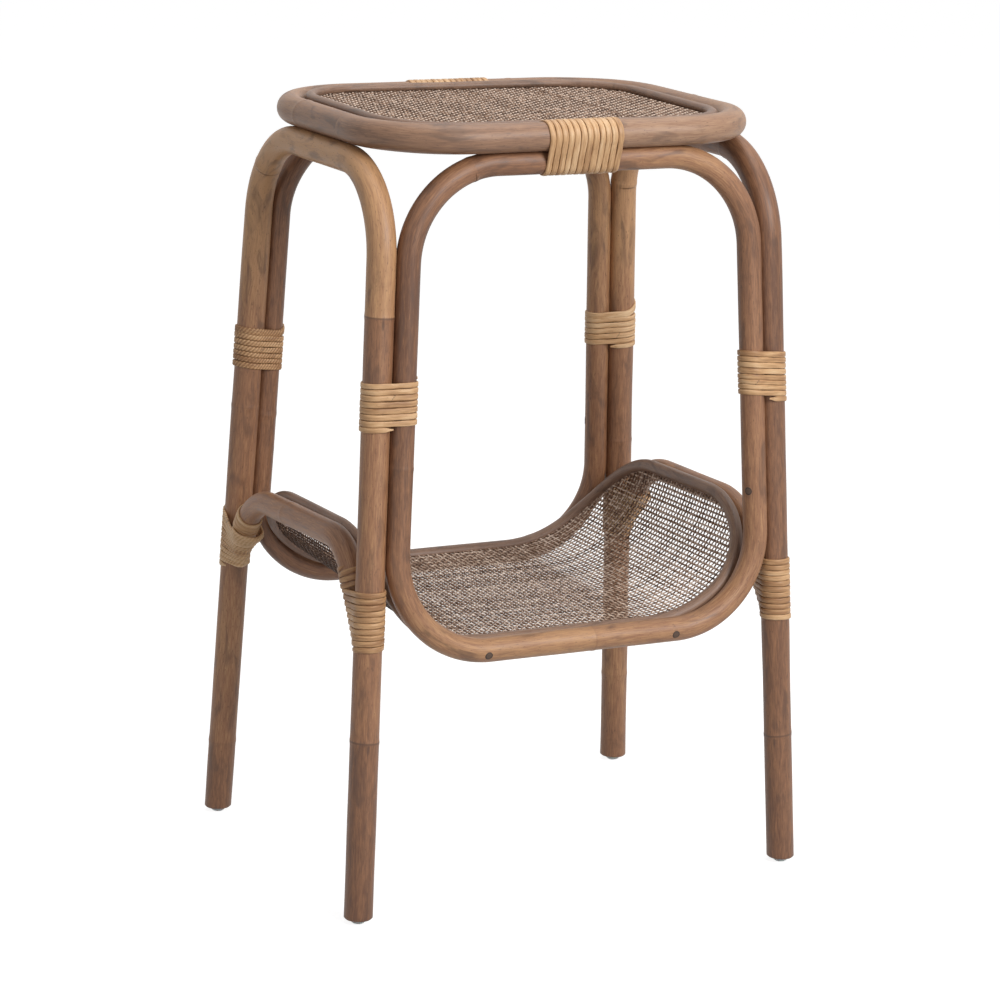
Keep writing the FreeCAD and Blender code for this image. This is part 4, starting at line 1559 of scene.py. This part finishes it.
@dataclass(frozen=True)
class Winding:
    """How one lashing is wound: its middle's height on the leg, its turns, what is uneven about it, and a
    tone shift that holds painted light and shade too.
    """

    z: float
    turns: float
    pitch: float
    climb: float = 0.0
    start: float = 0.0
    turned_back: bool = False
    lean: float = 0.0
    skew: float = 0.0
    wrap_turns: float = 0.0
    tone: float = 0.0
    knurl: float = 0.0


@dataclass
class Lashings:
    """Strips of peel that tie the poles together."""

    skeleton: Skeleton
    poles: PoleFrame
    skin: float = 0.3
    top_pitch: float = 5.8
    front_top: Span = (-5.7, 12.0)
    back_top: Span = (5.4, 13.6)
    # A winding's tone shifts its peel colour: the back left mid lashing is toned darker as painted shade.
    mid_turns: Dict[Tuple[End, Side], Winding] = field(default_factory=lambda: {
        (End.FRONT, Side.LEFT): Winding(459.4, 7.8, 5.3, start=0.9, lean=-2.0, tone=-0.05),
        (End.FRONT, Side.RIGHT): Winding(459.4, 8.5, 5.0, start=0.9, lean=-4.5),
        (End.BACK, Side.LEFT): Winding(453.8, 6.8, 5.5, climb=10.0, lean=4.0, tone=-0.1, knurl=0.45),
        (End.BACK, Side.RIGHT): Winding(451.2, 6.4, 5.3, climb=11.0, start=0.9, turned_back=True, tone=0.06),
    })
    # The front low lashings are toned darker low on the legs, and the back left low lashing paler as painted
    # light against its shade.
    low_turns: Dict[Tuple[End, Side], Winding] = field(default_factory=lambda: {
        (End.FRONT, Side.LEFT): Winding(271.0, 9.6, 5.3, wrap_turns=3.6, tone=-0.08),
        (End.FRONT, Side.RIGHT): Winding(262.8, 11.0, 5.2, wrap_turns=2.0, tone=-0.08),
        (End.BACK, Side.LEFT): Winding(271.5, 9.8, 5.0, skew=12.0, wrap_turns=3.9, tone=0.05, knurl=0.25),
        (End.BACK, Side.RIGHT): Winding(267.0, 10.0, 5.2, skew=6.0, wrap_turns=2.0),
    })
    wrap_pitch: float = 5.0
    wrap_cover: float = 0.92
    wrap_overlap: float = 0.4
    wrap_samples: int = 60
    skew_drop: float = 0.35
    top_seeds: Tuple[int, int] = (101, 111)
    mid_seed: int = 121
    low_seed: int = 171
    seed_step: int = 10
    wrap_seed: int = 5

    def build(self) -> None:
        """Winds and dresses every lashing."""
        peel = PEEL_FINISH.material()
        for end, place, seed in zip(End, (self.front_top, self.back_top), self.top_seeds):
            name = end.name.lower() + "_top_lashing"
            make_piece(name + "_peel", self.top(end.value, *place, seed), peel, [name])
        for number, (end, side) in enumerate(self.mid_turns):
            corner = end.name.lower() + "_" + side.name.lower()
            shift = self.seed_step * number
            wound = self.mid(side.value, end.value, self.mid_turns[end, side], self.mid_seed + shift)
            make_piece(corner + "_mid_lashing_peel", wound, peel, [corner + "_mid_lashing"])
            wound = self.low(side.value, end.value, self.low_turns[end, side], self.low_seed + shift)
            make_piece(corner + "_low_lashing_peel", wound, peel, [corner + "_low_lashing"])

    def top(self, end: int, x: float, turns: float, seed: int) -> Surface:
        """Strip round the ring and a loop's top rail.

        Args:
            end: -1 for the front, 1 for the back.
            x: place of its middle along the ring.
            turns: number of turns.
            seed: seed of its unevenness.

        Returns:
            The strip's surface.
        """
        bones = self.skeleton
        origin = np.array([x, end * bones.ring_y + bones.ring_shift[1], bones.ring_z])
        rail = bones.post(bones.loop_top, 1, end)
        rail[0] = x
        far = even_pole(bones.loop_r + self.skin, float(np.linalg.norm(rail - origin)))
        near = bones.ring_r + self.skin
        return Belt(origin, unit(rail - origin), X_WAY, near, far, turns, self.top_pitch, seed).surface()

    def mid(self, side: int, end: int, winding: Winding, seed: int) -> Surface:
        """Strip round a leg and the loop's post beside it.

        Args:
            side: -1 for the left, 1 for the right.
            end: -1 for the front, 1 for the back.
            winding: how it is wound.
            seed: seed of its unevenness.

        Returns:
            The strip's surface.
        """
        bones = self.skeleton
        origin = bones.leg(winding.z, side, end)
        axis = bones.leg_axis(side, end)
        offset = bones.post(winding.z, side, end) - origin
        square = offset - axis * (offset @ axis)
        far = even_pole(bones.loop_r + self.skin, float(np.linalg.norm(square)))
        belt = Belt(
            origin, unit(square), axis, bones.leg_r + self.skin, far, winding.turns, winding.pitch, seed,
            wind=side * end if winding.turned_back else -side * end, start=winding.start,
            tail_climb=winding.climb, lean=winding.lean, tone=winding.tone, knurl=winding.knurl
        )
        return belt.surface()

    def low(self, side: int, end: int, winding: Winding, seed: int) -> Surface:
        """Strip round a leg and a stretcher's whittled end, and its last turns round the stretcher's bend.

        Args:
            side: -1 for the left, 1 for the right.
            end: -1 for the front, 1 for the back.
            winding: how it is wound.
            seed: seed of its unevenness.

        Returns:
            The strip's surface.
        """
        bones = self.skeleton
        run = bones.stretcher_run(side, end)
        origin = bones.leg(winding.z, side, end)
        axis = bones.leg_axis(side, end)
        way = bones.stretcher_way(run.foot_outset, side, end)
        square = way - axis * (way @ axis)

        def far(height: Array) -> Pair:
            """Radius and distance of the stretcher's end, cut level."""
            radius, slope, reach = bones.stretcher_foot(winding.z + height, side, end)
            return radius / np.cos(slope) + self.skin, reach

        near = bones.leg_r + self.skin
        belt = Belt(
            origin, unit(square), axis, near, far, winding.turns, winding.pitch, seed,
            wind=side * end, skew=winding.skew, tone=winding.tone, knurl=winding.knurl
        )
        return belt.surface().joined(self.bend_wrap(side, end, winding, seed + self.wrap_seed))

    def bend_wrap(self, side: int, end: int, winding: Winding, seed: int) -> Surface:
        """Strip coiled round a stretcher's bend above the lashing.

        A place is the stretcher's centre line plus its radius times cosine and sine of an angle that grows by
        a full turn for each pitch along the line.

        Args:
            side: left or right.
            end: front or back.
            winding: how the lashing below is wound.
            seed: seed of the strip.

        Returns:
            The strip's surface.
        """
        bones = self.skeleton
        path = self.poles.stretcher_path(side)
        run = path.run()
        if end > 0:
            run = path.length() - run
        order = np.argsort(run)
        rising = order[: len(order) // 2]
        lashing_top = winding.z + winding.turns * winding.pitch / 2 - self.skew_drop * winding.skew
        first, second = path.frames(X_WAY)
        turned = np.linspace(0.0, winding.wrap_turns, round(self.wrap_samples * winding.wrap_turns))
        start = np.interp(lashing_top, path.points[rising, 2], run[rising])
        wanted = start + self.wrap_pitch * (turned - self.wrap_overlap)

        def along(values: Array) -> Array:
            """Values at the wanted places along the stretcher."""
            columns = [np.interp(wanted, run[order], values[order, i]) for i in range(3)]
            return np.stack(columns, axis=-1)

        angle = (turned * FULL_TURN)[:, None]
        outward = unit(along(first) * np.cos(angle) + along(second) * np.sin(angle))
        points = along(path.points) + outward * (bones.stretcher_r + self.skin)
        half_width = np.full(len(turned), self.wrap_pitch * self.wrap_cover / 2)
        return Strip(seed, tone=winding.tone).surface(points, outward, half_width)


@dataclass
class WovenMat:
    """A plain weave of thin strands on a surface, cut to a rounded outline."""

    name: str
    surface: Callable[[Array, Array], Pair]
    half_along: float
    half_across: float
    corner: float
    seed: int
    pitch_along: float = 4.7
    pitch_across: float = 5.1
    widths: Span = (2.5, 2.1)
    thickness: float = 0.8
    shift: float = 0.25
    sway: float = 0.16
    tones: Span = (-0.13, -0.11)
    tone_spread: float = 0.06
    # Painted light and shade on the strands: the first is its strength, the second the weight of the lighter
    # upper side of each section.
    crown: float = 0.13
    lit_top_share: float = 1.3
    fullness: float = 0.55
    width_spread: Span = (0.8, 1.2)
    sway_wave: float = 60.0
    sway_seeds: int = 7
    grain_step: float = 37.0
    sides: int = 6

    def strands(self, lengthwise: bool) -> Surface:
        """All the strands that run one way.

        Each strand has an oval ring of points at every half pitch of the strands that it crosses. It rises
        over one crossing strand and dips under the next: its lift is half its thickness times the cosine of
        half a turn for each pitch, with the sign changed from strand to strand. The tone holds painted light
        and shade: paler where a strand is high and on the top of its section, darker where it dips under its
        neighbour and on its underside. Faces outside the outline are left out.

        Args:
            lengthwise: whether the strands run along the mat, and not across it.

        Returns:
            The surface with its grain and tone attributes.
        """
        rng = np.random.default_rng(self.seed + lengthwise)
        half_run, half_side = self.half_along, self.half_across
        run_pitch, lane_pitch = self.pitch_along, self.pitch_across
        if not lengthwise:
            half_run, half_side = half_side, half_run
            run_pitch, lane_pitch = lane_pitch, run_pitch
        crossings = math.ceil(half_run / run_pitch)
        lanes = math.floor(half_side / lane_pitch)
        lane = np.arange(-lanes, lanes + 1)
        half_step = np.arange(-2 * crossings, 2 * crossings + 1)
        run = half_step * run_pitch / 2
        drift = rng.uniform(-self.shift, self.shift, len(lane))
        seeds = self.seed + self.sway_seeds * np.arange(len(lane))
        sway = np.stack([wander(run, 2 * half_run, self.sway_wave, int(seed)) for seed in seeds])
        side = (lane * lane_pitch + drift)[:, None] + self.sway * sway
        flip = np.where(lane % 2 == 0, 1.0, -1.0)[:, None]
        lift = self.thickness / 2 * np.cos(half_step * math.pi / 2)[None] * flip * (1 if lengthwise else -1)
        thick = rng.uniform(*self.width_spread, len(lane))
        angle = np.arange(self.sides) / self.sides * FULL_TURN
        number = 0 if lengthwise else 1
        wide = np.cos(angle) * self.widths[number] / 2
        high = np.sin(angle) * self.thickness * self.fullness
        shape = (len(lane), len(run), self.sides)
        lateral = side[..., None] + wide * thick[:, None, None]
        forward = np.broadcast_to(run[None, :, None], shape)
        along, across = (forward, lateral) if lengthwise else (lateral, forward)
        base, normal = self.surface(along, across)
        points = base + normal * (lift[..., None] + high)[..., None]
        inside = self.inside(along, across).all(axis=-1)
        keep = (inside[:, :-1] & inside[:, 1:]).reshape(-1)
        faces = self.strand_faces(shape, keep, lengthwise)
        # Painted light and shade: paler where a strand rises and on the top of its section, darker where it
        # dips under its neighbour and on its underside.
        painted_light_and_shade = self.crown * (2 * lift[..., None] / self.thickness + self.lit_top_share * np.sin(angle))
        tone = rng.normal(self.tones[number], self.tone_spread, len(lane))[:, None, None] + painted_light_and_shade
        offset = (lane[:, None, None] + lanes) * self.grain_step
        section = np.broadcast_to(wide, shape), np.broadcast_to(high, shape) + offset
        grain = np.stack([*section, forward + offset], axis=-1)
        used, corners = np.unique(faces, return_inverse=True)
        attributes = {"grain": grain.reshape(-1, 3)[used], "tone": tone.reshape(-1)[used]}
        return Surface(points.reshape(-1, 3)[used], corners.reshape(-1, 4).tolist(), attributes)

    def inside(self, along: Array, across: Array) -> Array:
        """Whether places lie inside the rounded outline.

        Args:
            along: distances along the mat.
            across: distances across it.

        Returns:
            True for each place inside.
        """
        x = np.maximum(np.abs(along) - (self.half_along - self.corner), 0.0)
        y = np.maximum(np.abs(across) - (self.half_across - self.corner), 0.0)
        return np.hypot(x, y) <= self.corner

    def strand_faces(self, shape: Tuple[int, int, int], keep: Array, lengthwise: bool) -> Array:
        """Corner numbers of the kept faces of all strands.

        Args:
            shape: numbers of strands, rings and ring points.
            keep: for each stretch between two rings, whether it is kept.
            lengthwise: whether the strands run along the mat, which sets the way the rings turn.

        Returns:
            Four corner numbers for each face.
        """
        lanes, rings, sides = shape
        start = (np.arange(lanes)[:, None] * rings + np.arange(rings - 1)[None]).reshape(-1)[keep]
        point = np.arange(sides)
        following = (point + 1) % sides
        rows = [start[:, None] * sides + point, start[:, None] * sides + following]
        rows += [(start[:, None] + 1) * sides + following, (start[:, None] + 1) * sides + point]
        corners = np.stack(rows, axis=-1).reshape(-1, 4)
        return corners if lengthwise else corners[:, ::-1]

    def build(self, material: bpy.types.Material, node: str) -> None:
        """Makes both sets of strands and puts them in place of a node."""
        for lengthwise, label in ((True, "lengthwise"), (False, "crosswise")):
            make_piece(self.name + "_" + label, self.strands(lengthwise), material, [node])


@dataclass
class TableTop:
    """Woven panel in the ring, with its flat-bottomed cane trim, both a little tilted."""

    skeleton: Skeleton
    mat_drop: float = 6.6
    ring_bend: float = 84.4
    trim_width: float = 9.6
    trim_height: float = 6.4
    trim_cover: float = 4.0
    weave_half_height: float = 1.0
    tilt: Span = (-1.2, 1.2)
    brad_count: int = 14
    brad_radii: Span = (1.2, 0.6)
    brad_head: float = 0.6
    brad_length: float = 11.0
    brad_sink: float = 0.6
    weave_seed: int = 301
    trim_step: float = 2.6
    trim_points: int = 13
    trim_sway: float = 0.03
    trim_wave: float = 140.0
    trim_seed: int = 61
    trim_knuckle_spacing: float = 230.0
    trim_mark: float = 0.5
    trim_grain: float = 5e4

    def build(self) -> None:
        """Makes and dresses the weave and the trim."""
        bones = self.skeleton
        inset = bones.ring_r + bones.gap
        half_x = bones.ring_x - inset
        half_y = bones.ring_y - inset
        bend = self.ring_bend - inset
        mat_top = bones.height - self.mat_drop
        level = mat_top - self.weave_half_height

        def flat(along: Array, across: Array) -> Pair:
            """Points and normals on the top, moved with the ring.

            Args:
                along: distances along the mat.
                across: distances across it.

            Returns:
                Points and unit normals.
            """
            shift_x, shift_y = bones.ring_shift
            x, y = np.broadcast_arrays(along + shift_x, across + shift_y)
            points = np.stack([x, y, level + self.tilted(x, y)], axis=-1)
            return points, np.broadcast_to(Z_WAY, points.shape)

        hidden = self.trim_width - self.trim_cover
        weave = WovenMat(
            "top_weave", flat, half_x - hidden, half_y - hidden, bend - hidden, self.weave_seed,
            pitch_along=4.85, pitch_across=4.3, widths=(2.2, 2.4), thickness=1.2, tones=(-0.3, -0.02)
        )
        weave.build(WEAVE_FINISH.material(), "top_mat")
        trim = self.trim(half_x, half_y, bend, mat_top)
        make_piece("top_trim_cane", trim, EDGE_FINISH.material(), ["top_trim"])
        brads = self.brads(self.trim_path(half_x, half_y, bend, mat_top))
        make_piece("sunk_brads", brads, CARRIED_FINISHES[Slot.STEEL].material(), ["trim_brads"])

    def tilted(self, x: Array, y: Array) -> Array:
        """How far the top lies above its level at places."""
        return self.tilt[0] * x / self.skeleton.ring_x + self.tilt[1] * y / self.skeleton.ring_y

    def trim_path(self, half_x: float, half_y: float, bend: float, level: float) -> Path:
        """Middle of the trim's foot, round the panel.

        Args:
            half_x: half length of the panel.
            half_y: half width of the panel.
            bend: radius of the panel's corners.
            level: height of the trim's foot before the tilt.

        Returns:
            The closed path.
        """
        inset = self.skeleton.gap + self.trim_width / 2
        corners = level_corners(half_x - inset, half_y - inset, level)
        corners = corners + np.array([*self.skeleton.ring_shift, 0.0])
        path = closed_path(corners, [bend - inset] * 4, self.trim_step)
        path.points[:, 2] += self.tilted(path.points[:, 0], path.points[:, 1])
        return path

    def brads(self, path: Path) -> Surface:
        """Headed brads down through the trim, sunk a little under its crown.

        Args:
            path: middle of the trim's foot.

        Returns:
            The brads as one surface.
        """
        share = (np.arange(self.brad_count) + 0.5) / self.brad_count
        places = np.searchsorted(path.run(), share * path.length())
        head, shank = self.brad_radii
        profile = [(0.0, head), (self.brad_head, head), (self.brad_head, shank), (self.brad_length, shank)]
        starts = path.points[places] + Z_WAY * (self.trim_height - self.brad_sink)
        return joined_all([pin(start, -Z_WAY, profile) for start in starts])

    def trim(self, half_x: float, half_y: float, bend: float, level: float) -> Surface:
        """Cane inside the ring: a rounded profile on a flat foot, carried round the outline.

        Args:
            half_x: half length of the panel.
            half_y: half width of the panel.
            bend: radius of the panel's corners.
            level: height of the trim's foot before the tilt.

        Returns:
            The surface with its grain and knuckle attributes.
        """
        half = self.trim_width / 2
        path = self.trim_path(half_x, half_y, bend, level)
        upward, inward = path.frames(Z_WAY)
        angles = np.linspace(0.0, math.pi, self.trim_points)
        run = path.run()
        wave = 1 + self.trim_sway * wander(run, path.length(), self.trim_wave, self.trim_seed)
        across = -half * np.cos(angles)[None] * wave[:, None]
        height = self.trim_height * np.sqrt(np.sin(angles))[None] * wave[:, None]
        aside = path.points[:, None] + inward[:, None] * across[..., None]
        points = aside + upward[:, None] * height[..., None]
        knuckles = spread_knuckles(path.length(), self.trim_knuckle_spacing, self.trim_seed + 1)
        gaps = np.min(np.abs(run[:, None] - np.array(knuckles)), axis=1)
        attributes = {
            "grain": grain_places(across, height, run, self.trim_grain),
            "knuckle": np.repeat(self.trim_mark * np.exp(-gaps ** 2), len(angles)),
        }
        return Surface(points.reshape(-1, 3), grid_faces(len(run), len(angles), True), attributes)


@dataclass
class Shelf:
    """Woven shelf hung in the rim."""

    skeleton: Skeleton
    edge: float = 2.0
    seed: int = 351

    def build(self) -> None:
        """Makes and dresses the weave."""
        bones = self.skeleton
        half_x = bones.shelf_reach - self.edge
        half_y = bones.rim_y - self.edge
        bend = bones.rim_bend - self.edge
        weave = WovenMat("shelf_weave", bones.shelf, half_x, half_y, bend, self.seed)
        weave.build(WEAVE_FINISH.material(), "shelf_mat")


@dataclass
class Plugs:
    """Dark filler over the sunk screws of the loops."""

    skeleton: Skeleton
    rim_screw_x: Span = (-95.1, 92.0)
    post_screw_z: float = 355.7
    post_screw_turns: Span = (-20.0, 16.0)
    radius: float = 3.6
    proud: float = 0.16
    sides: int = 28
    reaches: Tuple[float, ...] = (0.08, 0.4, 0.7, 0.9, 1.0, 1.04)
    lifts: Tuple[float, ...] = (1.0, 0.95, 0.85, 0.6, 0.0, -1.6)

    def build(self) -> None:
        """Makes and dresses the plugs as one group."""
        bones = self.skeleton
        patches = []
        for end in (-1, 1):
            for side, screw_x, screw_turn in zip((-1, 1), self.rim_screw_x, self.post_screw_turns):
                rail = bones.post(bones.bottom_rail(end), side, end)
                rail[0] = screw_x
                rim = np.array([screw_x, end * bones.rim_y, bones.rim_z])
                patches.append(self.patch(rail, X_WAY, unit(rail - rim)))
                post = bones.post(self.post_screw_z, side, end)
                turn = math.radians(bones.post_turn + screw_turn)
                outward = np.array([-side * math.cos(turn), end * math.sin(turn), 0.0])
                patches.append(self.patch(post, bones.leg_axis(side, end), outward))
        caps = joined_all(patches)
        make_piece("screw_plug_caps", caps, PLUG_FINISH.material(), ["screw_plugs"])

    def patch(self, centre: Array, axis: Array, outward: Array) -> Surface:
        """One plug: a low dome on the pole's round skin.

        A point at a reach and an angle lies the reach times its cosine along the pole and the reach times its
        sine round it, at the pole's radius plus a height that falls from the middle and sinks under the skin.

        Args:
            centre: point on the pole's axis.
            axis: direction of the pole.
            outward: direction of the plug from the axis.

        Returns:
            The surface with its reach attribute.
        """
        shares = np.array(self.reaches)
        lifts = np.array(self.lifts) * self.proud
        angle = np.arange(self.sides) / self.sides * FULL_TURN
        along = self.radius * shares[:, None] * np.cos(angle)[None]
        round_run = self.radius * shares[:, None] * np.sin(angle)[None]
        squared = unit(outward - axis * (outward @ axis))
        sideways = np.cross(axis, squared)
        height = self.skeleton.loop_r + lifts[:, None]
        bend = round_run / self.skeleton.loop_r
        radial = squared * np.cos(bend)[..., None] + sideways * np.sin(bend)[..., None]
        points = centre + axis * along[..., None] + radial * height[..., None]
        faces = grid_faces(len(shares), len(angle), False) + end_caps(len(shares), len(angle))
        reach = np.repeat(shares, len(angle))
        return Surface(points.reshape(-1, 3), [face[::-1] for face in faces], {"reach": reach})


@dataclass
class CarriedNodes:
    """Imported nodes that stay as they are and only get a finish."""

    finishes: Dict[Slot, SolidFinish]

    def build(self) -> None:
        """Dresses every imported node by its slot."""
        materials = {slot.value: finish.material() for slot, finish in self.finishes.items()}
        for part in frame["record"]["subparts"]:
            if part["material_slot"] in materials:
                mesh = frame["nodes"][part["node"]].data
                mesh.materials.clear()
                mesh.materials.append(materials[part["material_slot"]])
                log.info("%s: carried over", part["node"])


@dataclass(frozen=True)
class PhotoCamera:
    """Camera of the photograph, from its view of the four legs and the ring."""

    yaw: float = -26.644
    elevation: float = 13.677
    roll: float = 1.451
    distance: float = 3200.68
    target_z: float = 320.0
    focal_px: float = 3465.43
    centre_px: Span = (502.91, 505.69)
    image_px: float = 1000.0
    sensor: float = 36.0

    def build(self) -> None:
        """Makes the scene's camera."""
        yaw = math.radians(self.yaw)
        tilt = math.radians(self.elevation)
        back = Vector((math.sin(yaw) * math.cos(tilt), -math.cos(yaw) * math.cos(tilt), math.sin(tilt)))
        level = Vector((math.cos(yaw), math.sin(yaw), 0.0))
        rise = back.cross(level)
        spin = math.radians(self.roll)
        right = level * math.cos(spin) + rise * math.sin(spin)
        up = rise * math.cos(spin) - level * math.sin(spin)
        place = (Vector((0.0, 0.0, self.target_z)) + back * self.distance) * MM
        data = bpy.data.cameras.new("photo_camera")
        data.sensor_width = self.sensor
        data.lens = self.focal_px / self.image_px * self.sensor
        data.shift_x = 0.5 - self.centre_px[0] / self.image_px
        data.shift_y = self.centre_px[1] / self.image_px - 0.5
        camera = bpy.data.objects.new("photo_camera", data)
        bpy.context.scene.collection.objects.link(camera)
        camera.matrix_world = Matrix.Translation(place) @ Matrix((right, up, back)).transposed().to_4x4()
        bpy.context.scene.camera = camera


@dataclass(frozen=True)
class Lamp:
    """A soft square lamp that looks at the table's middle, with sizes in metres."""

    name: str
    place: Triple
    size: float
    power: float
    aim: Triple = (0.0, 0.0, 0.4)

    def build(self) -> None:
        """Makes the lamp."""
        data = bpy.data.lights.new(self.name, "AREA")
        data.size = self.size
        data.energy = self.power
        lamp = bpy.data.objects.new(self.name, data)
        bpy.context.scene.collection.objects.link(lamp)
        place = Vector(self.place)
        turn = (Vector(self.aim) - place).to_track_quat("-Z", "Y")
        lamp.matrix_world = Matrix.Translation(place) @ turn.to_matrix().to_4x4()


@dataclass(frozen=True)
class Studio:
    """White sweep, soft lamps and even light from all round."""

    floor_half: float = 30.0
    ambient: float = 0.34
    floor_glow: float = 0.86
    floor_color: Color = (0.40, 0.40, 0.40, 1.0)
    floor_roughness: float = 0.9
    lamps: Tuple[Lamp, ...] = (
        Lamp("key_lamp", (0.8, -2.7, 1.9), 1.4, 75.0),
        Lamp("top_lamp", (0.3, 0.1, 2.6), 1.6, 22.0),
        Lamp("fill_lamp", (-2.2, -1.6, 1.2), 1.8, 5.0),
    )

    def build(self) -> None:
        """Makes the floor, the world and the lamps."""
        bpy.context.scene.view_settings.view_transform = "Standard"
        self.floor()
        self.world()
        for lamp in self.lamps:
            lamp.build()

    @staticmethod
    def seen_directly(tree: bpy.types.NodeTree) -> Socket:
        """One for rays from the camera, from mirrors and through glass, and else zero.

        Args:
            tree: node tree that gets the nodes.

        Returns:
            The value's socket.
        """
        path = tree.nodes.new("ShaderNodeLightPath")
        total = path.outputs["Is Camera Ray"]
        for name in ("Is Glossy Ray", "Is Transmission Ray"):
            node = tree.nodes.new("ShaderNodeMath")
            node.operation = "MAXIMUM"
            tree.links.new(total, node.inputs[0])
            tree.links.new(path.outputs[name], node.inputs[1])
            total = node.outputs[0]
        return total

    def floor(self) -> None:
        """Pale floor that looks white and keeps the table's shadow."""
        half = self.floor_half
        mesh = bpy.data.meshes.new("floor")
        corners = [(-half, -half, 0), (half, -half, 0), (half, half, 0), (-half, half, 0)]
        mesh.from_pydata(corners, [], [(0, 1, 2, 3)])
        floor = bpy.data.objects.new("floor", mesh)
        bpy.context.scene.collection.objects.link(floor)
        shader = Shader("pale_floor")
        glow = shader.combined("MULTIPLY", self.seen_directly(shader.tree), self.floor_glow)
        shader.feed(shader.surface, {"Base Color": self.floor_color, "Roughness": self.floor_roughness})
        shader.feed(shader.surface, {"Specular IOR Level": 0.0})
        shader.feed(shader.surface, {"Emission Color": WHITE, "Emission Strength": glow})
        mesh.materials.append(shader.material)

    def world(self) -> None:
        """White all round: full strength where it is seen, and softer as light."""
        world = bpy.data.worlds.new("studio")
        world.use_nodes = True
        bpy.context.scene.world = world
        tree = world.node_tree
        background = tree.nodes["Background"]
        background.inputs["Color"].default_value = WHITE
        strength = tree.nodes.new("ShaderNodeMapRange")
        strength.inputs["To Min"].default_value = self.ambient
        strength.inputs["To Max"].default_value = 1.0
        tree.links.new(self.seen_directly(tree), strength.inputs["Value"])
        tree.links.new(strength.outputs["Result"], background.inputs["Strength"])


def main() -> None:
    """Builds the table's sub-assemblies in order, then the studio and the camera."""
    logging.basicConfig(level=logging.INFO, format="%(message)s")
    skeleton = Skeleton()
    poles = PoleFrame(skeleton)
    poles.build()
    Lashings(skeleton, poles).build()
    TableTop(skeleton).build()
    Shelf(skeleton).build()
    Plugs(skeleton).build()
    CarriedNodes(CARRIED_FINISHES).build()
    Studio().build()
    PhotoCamera().build()


if __name__ == "__main__":
    main()
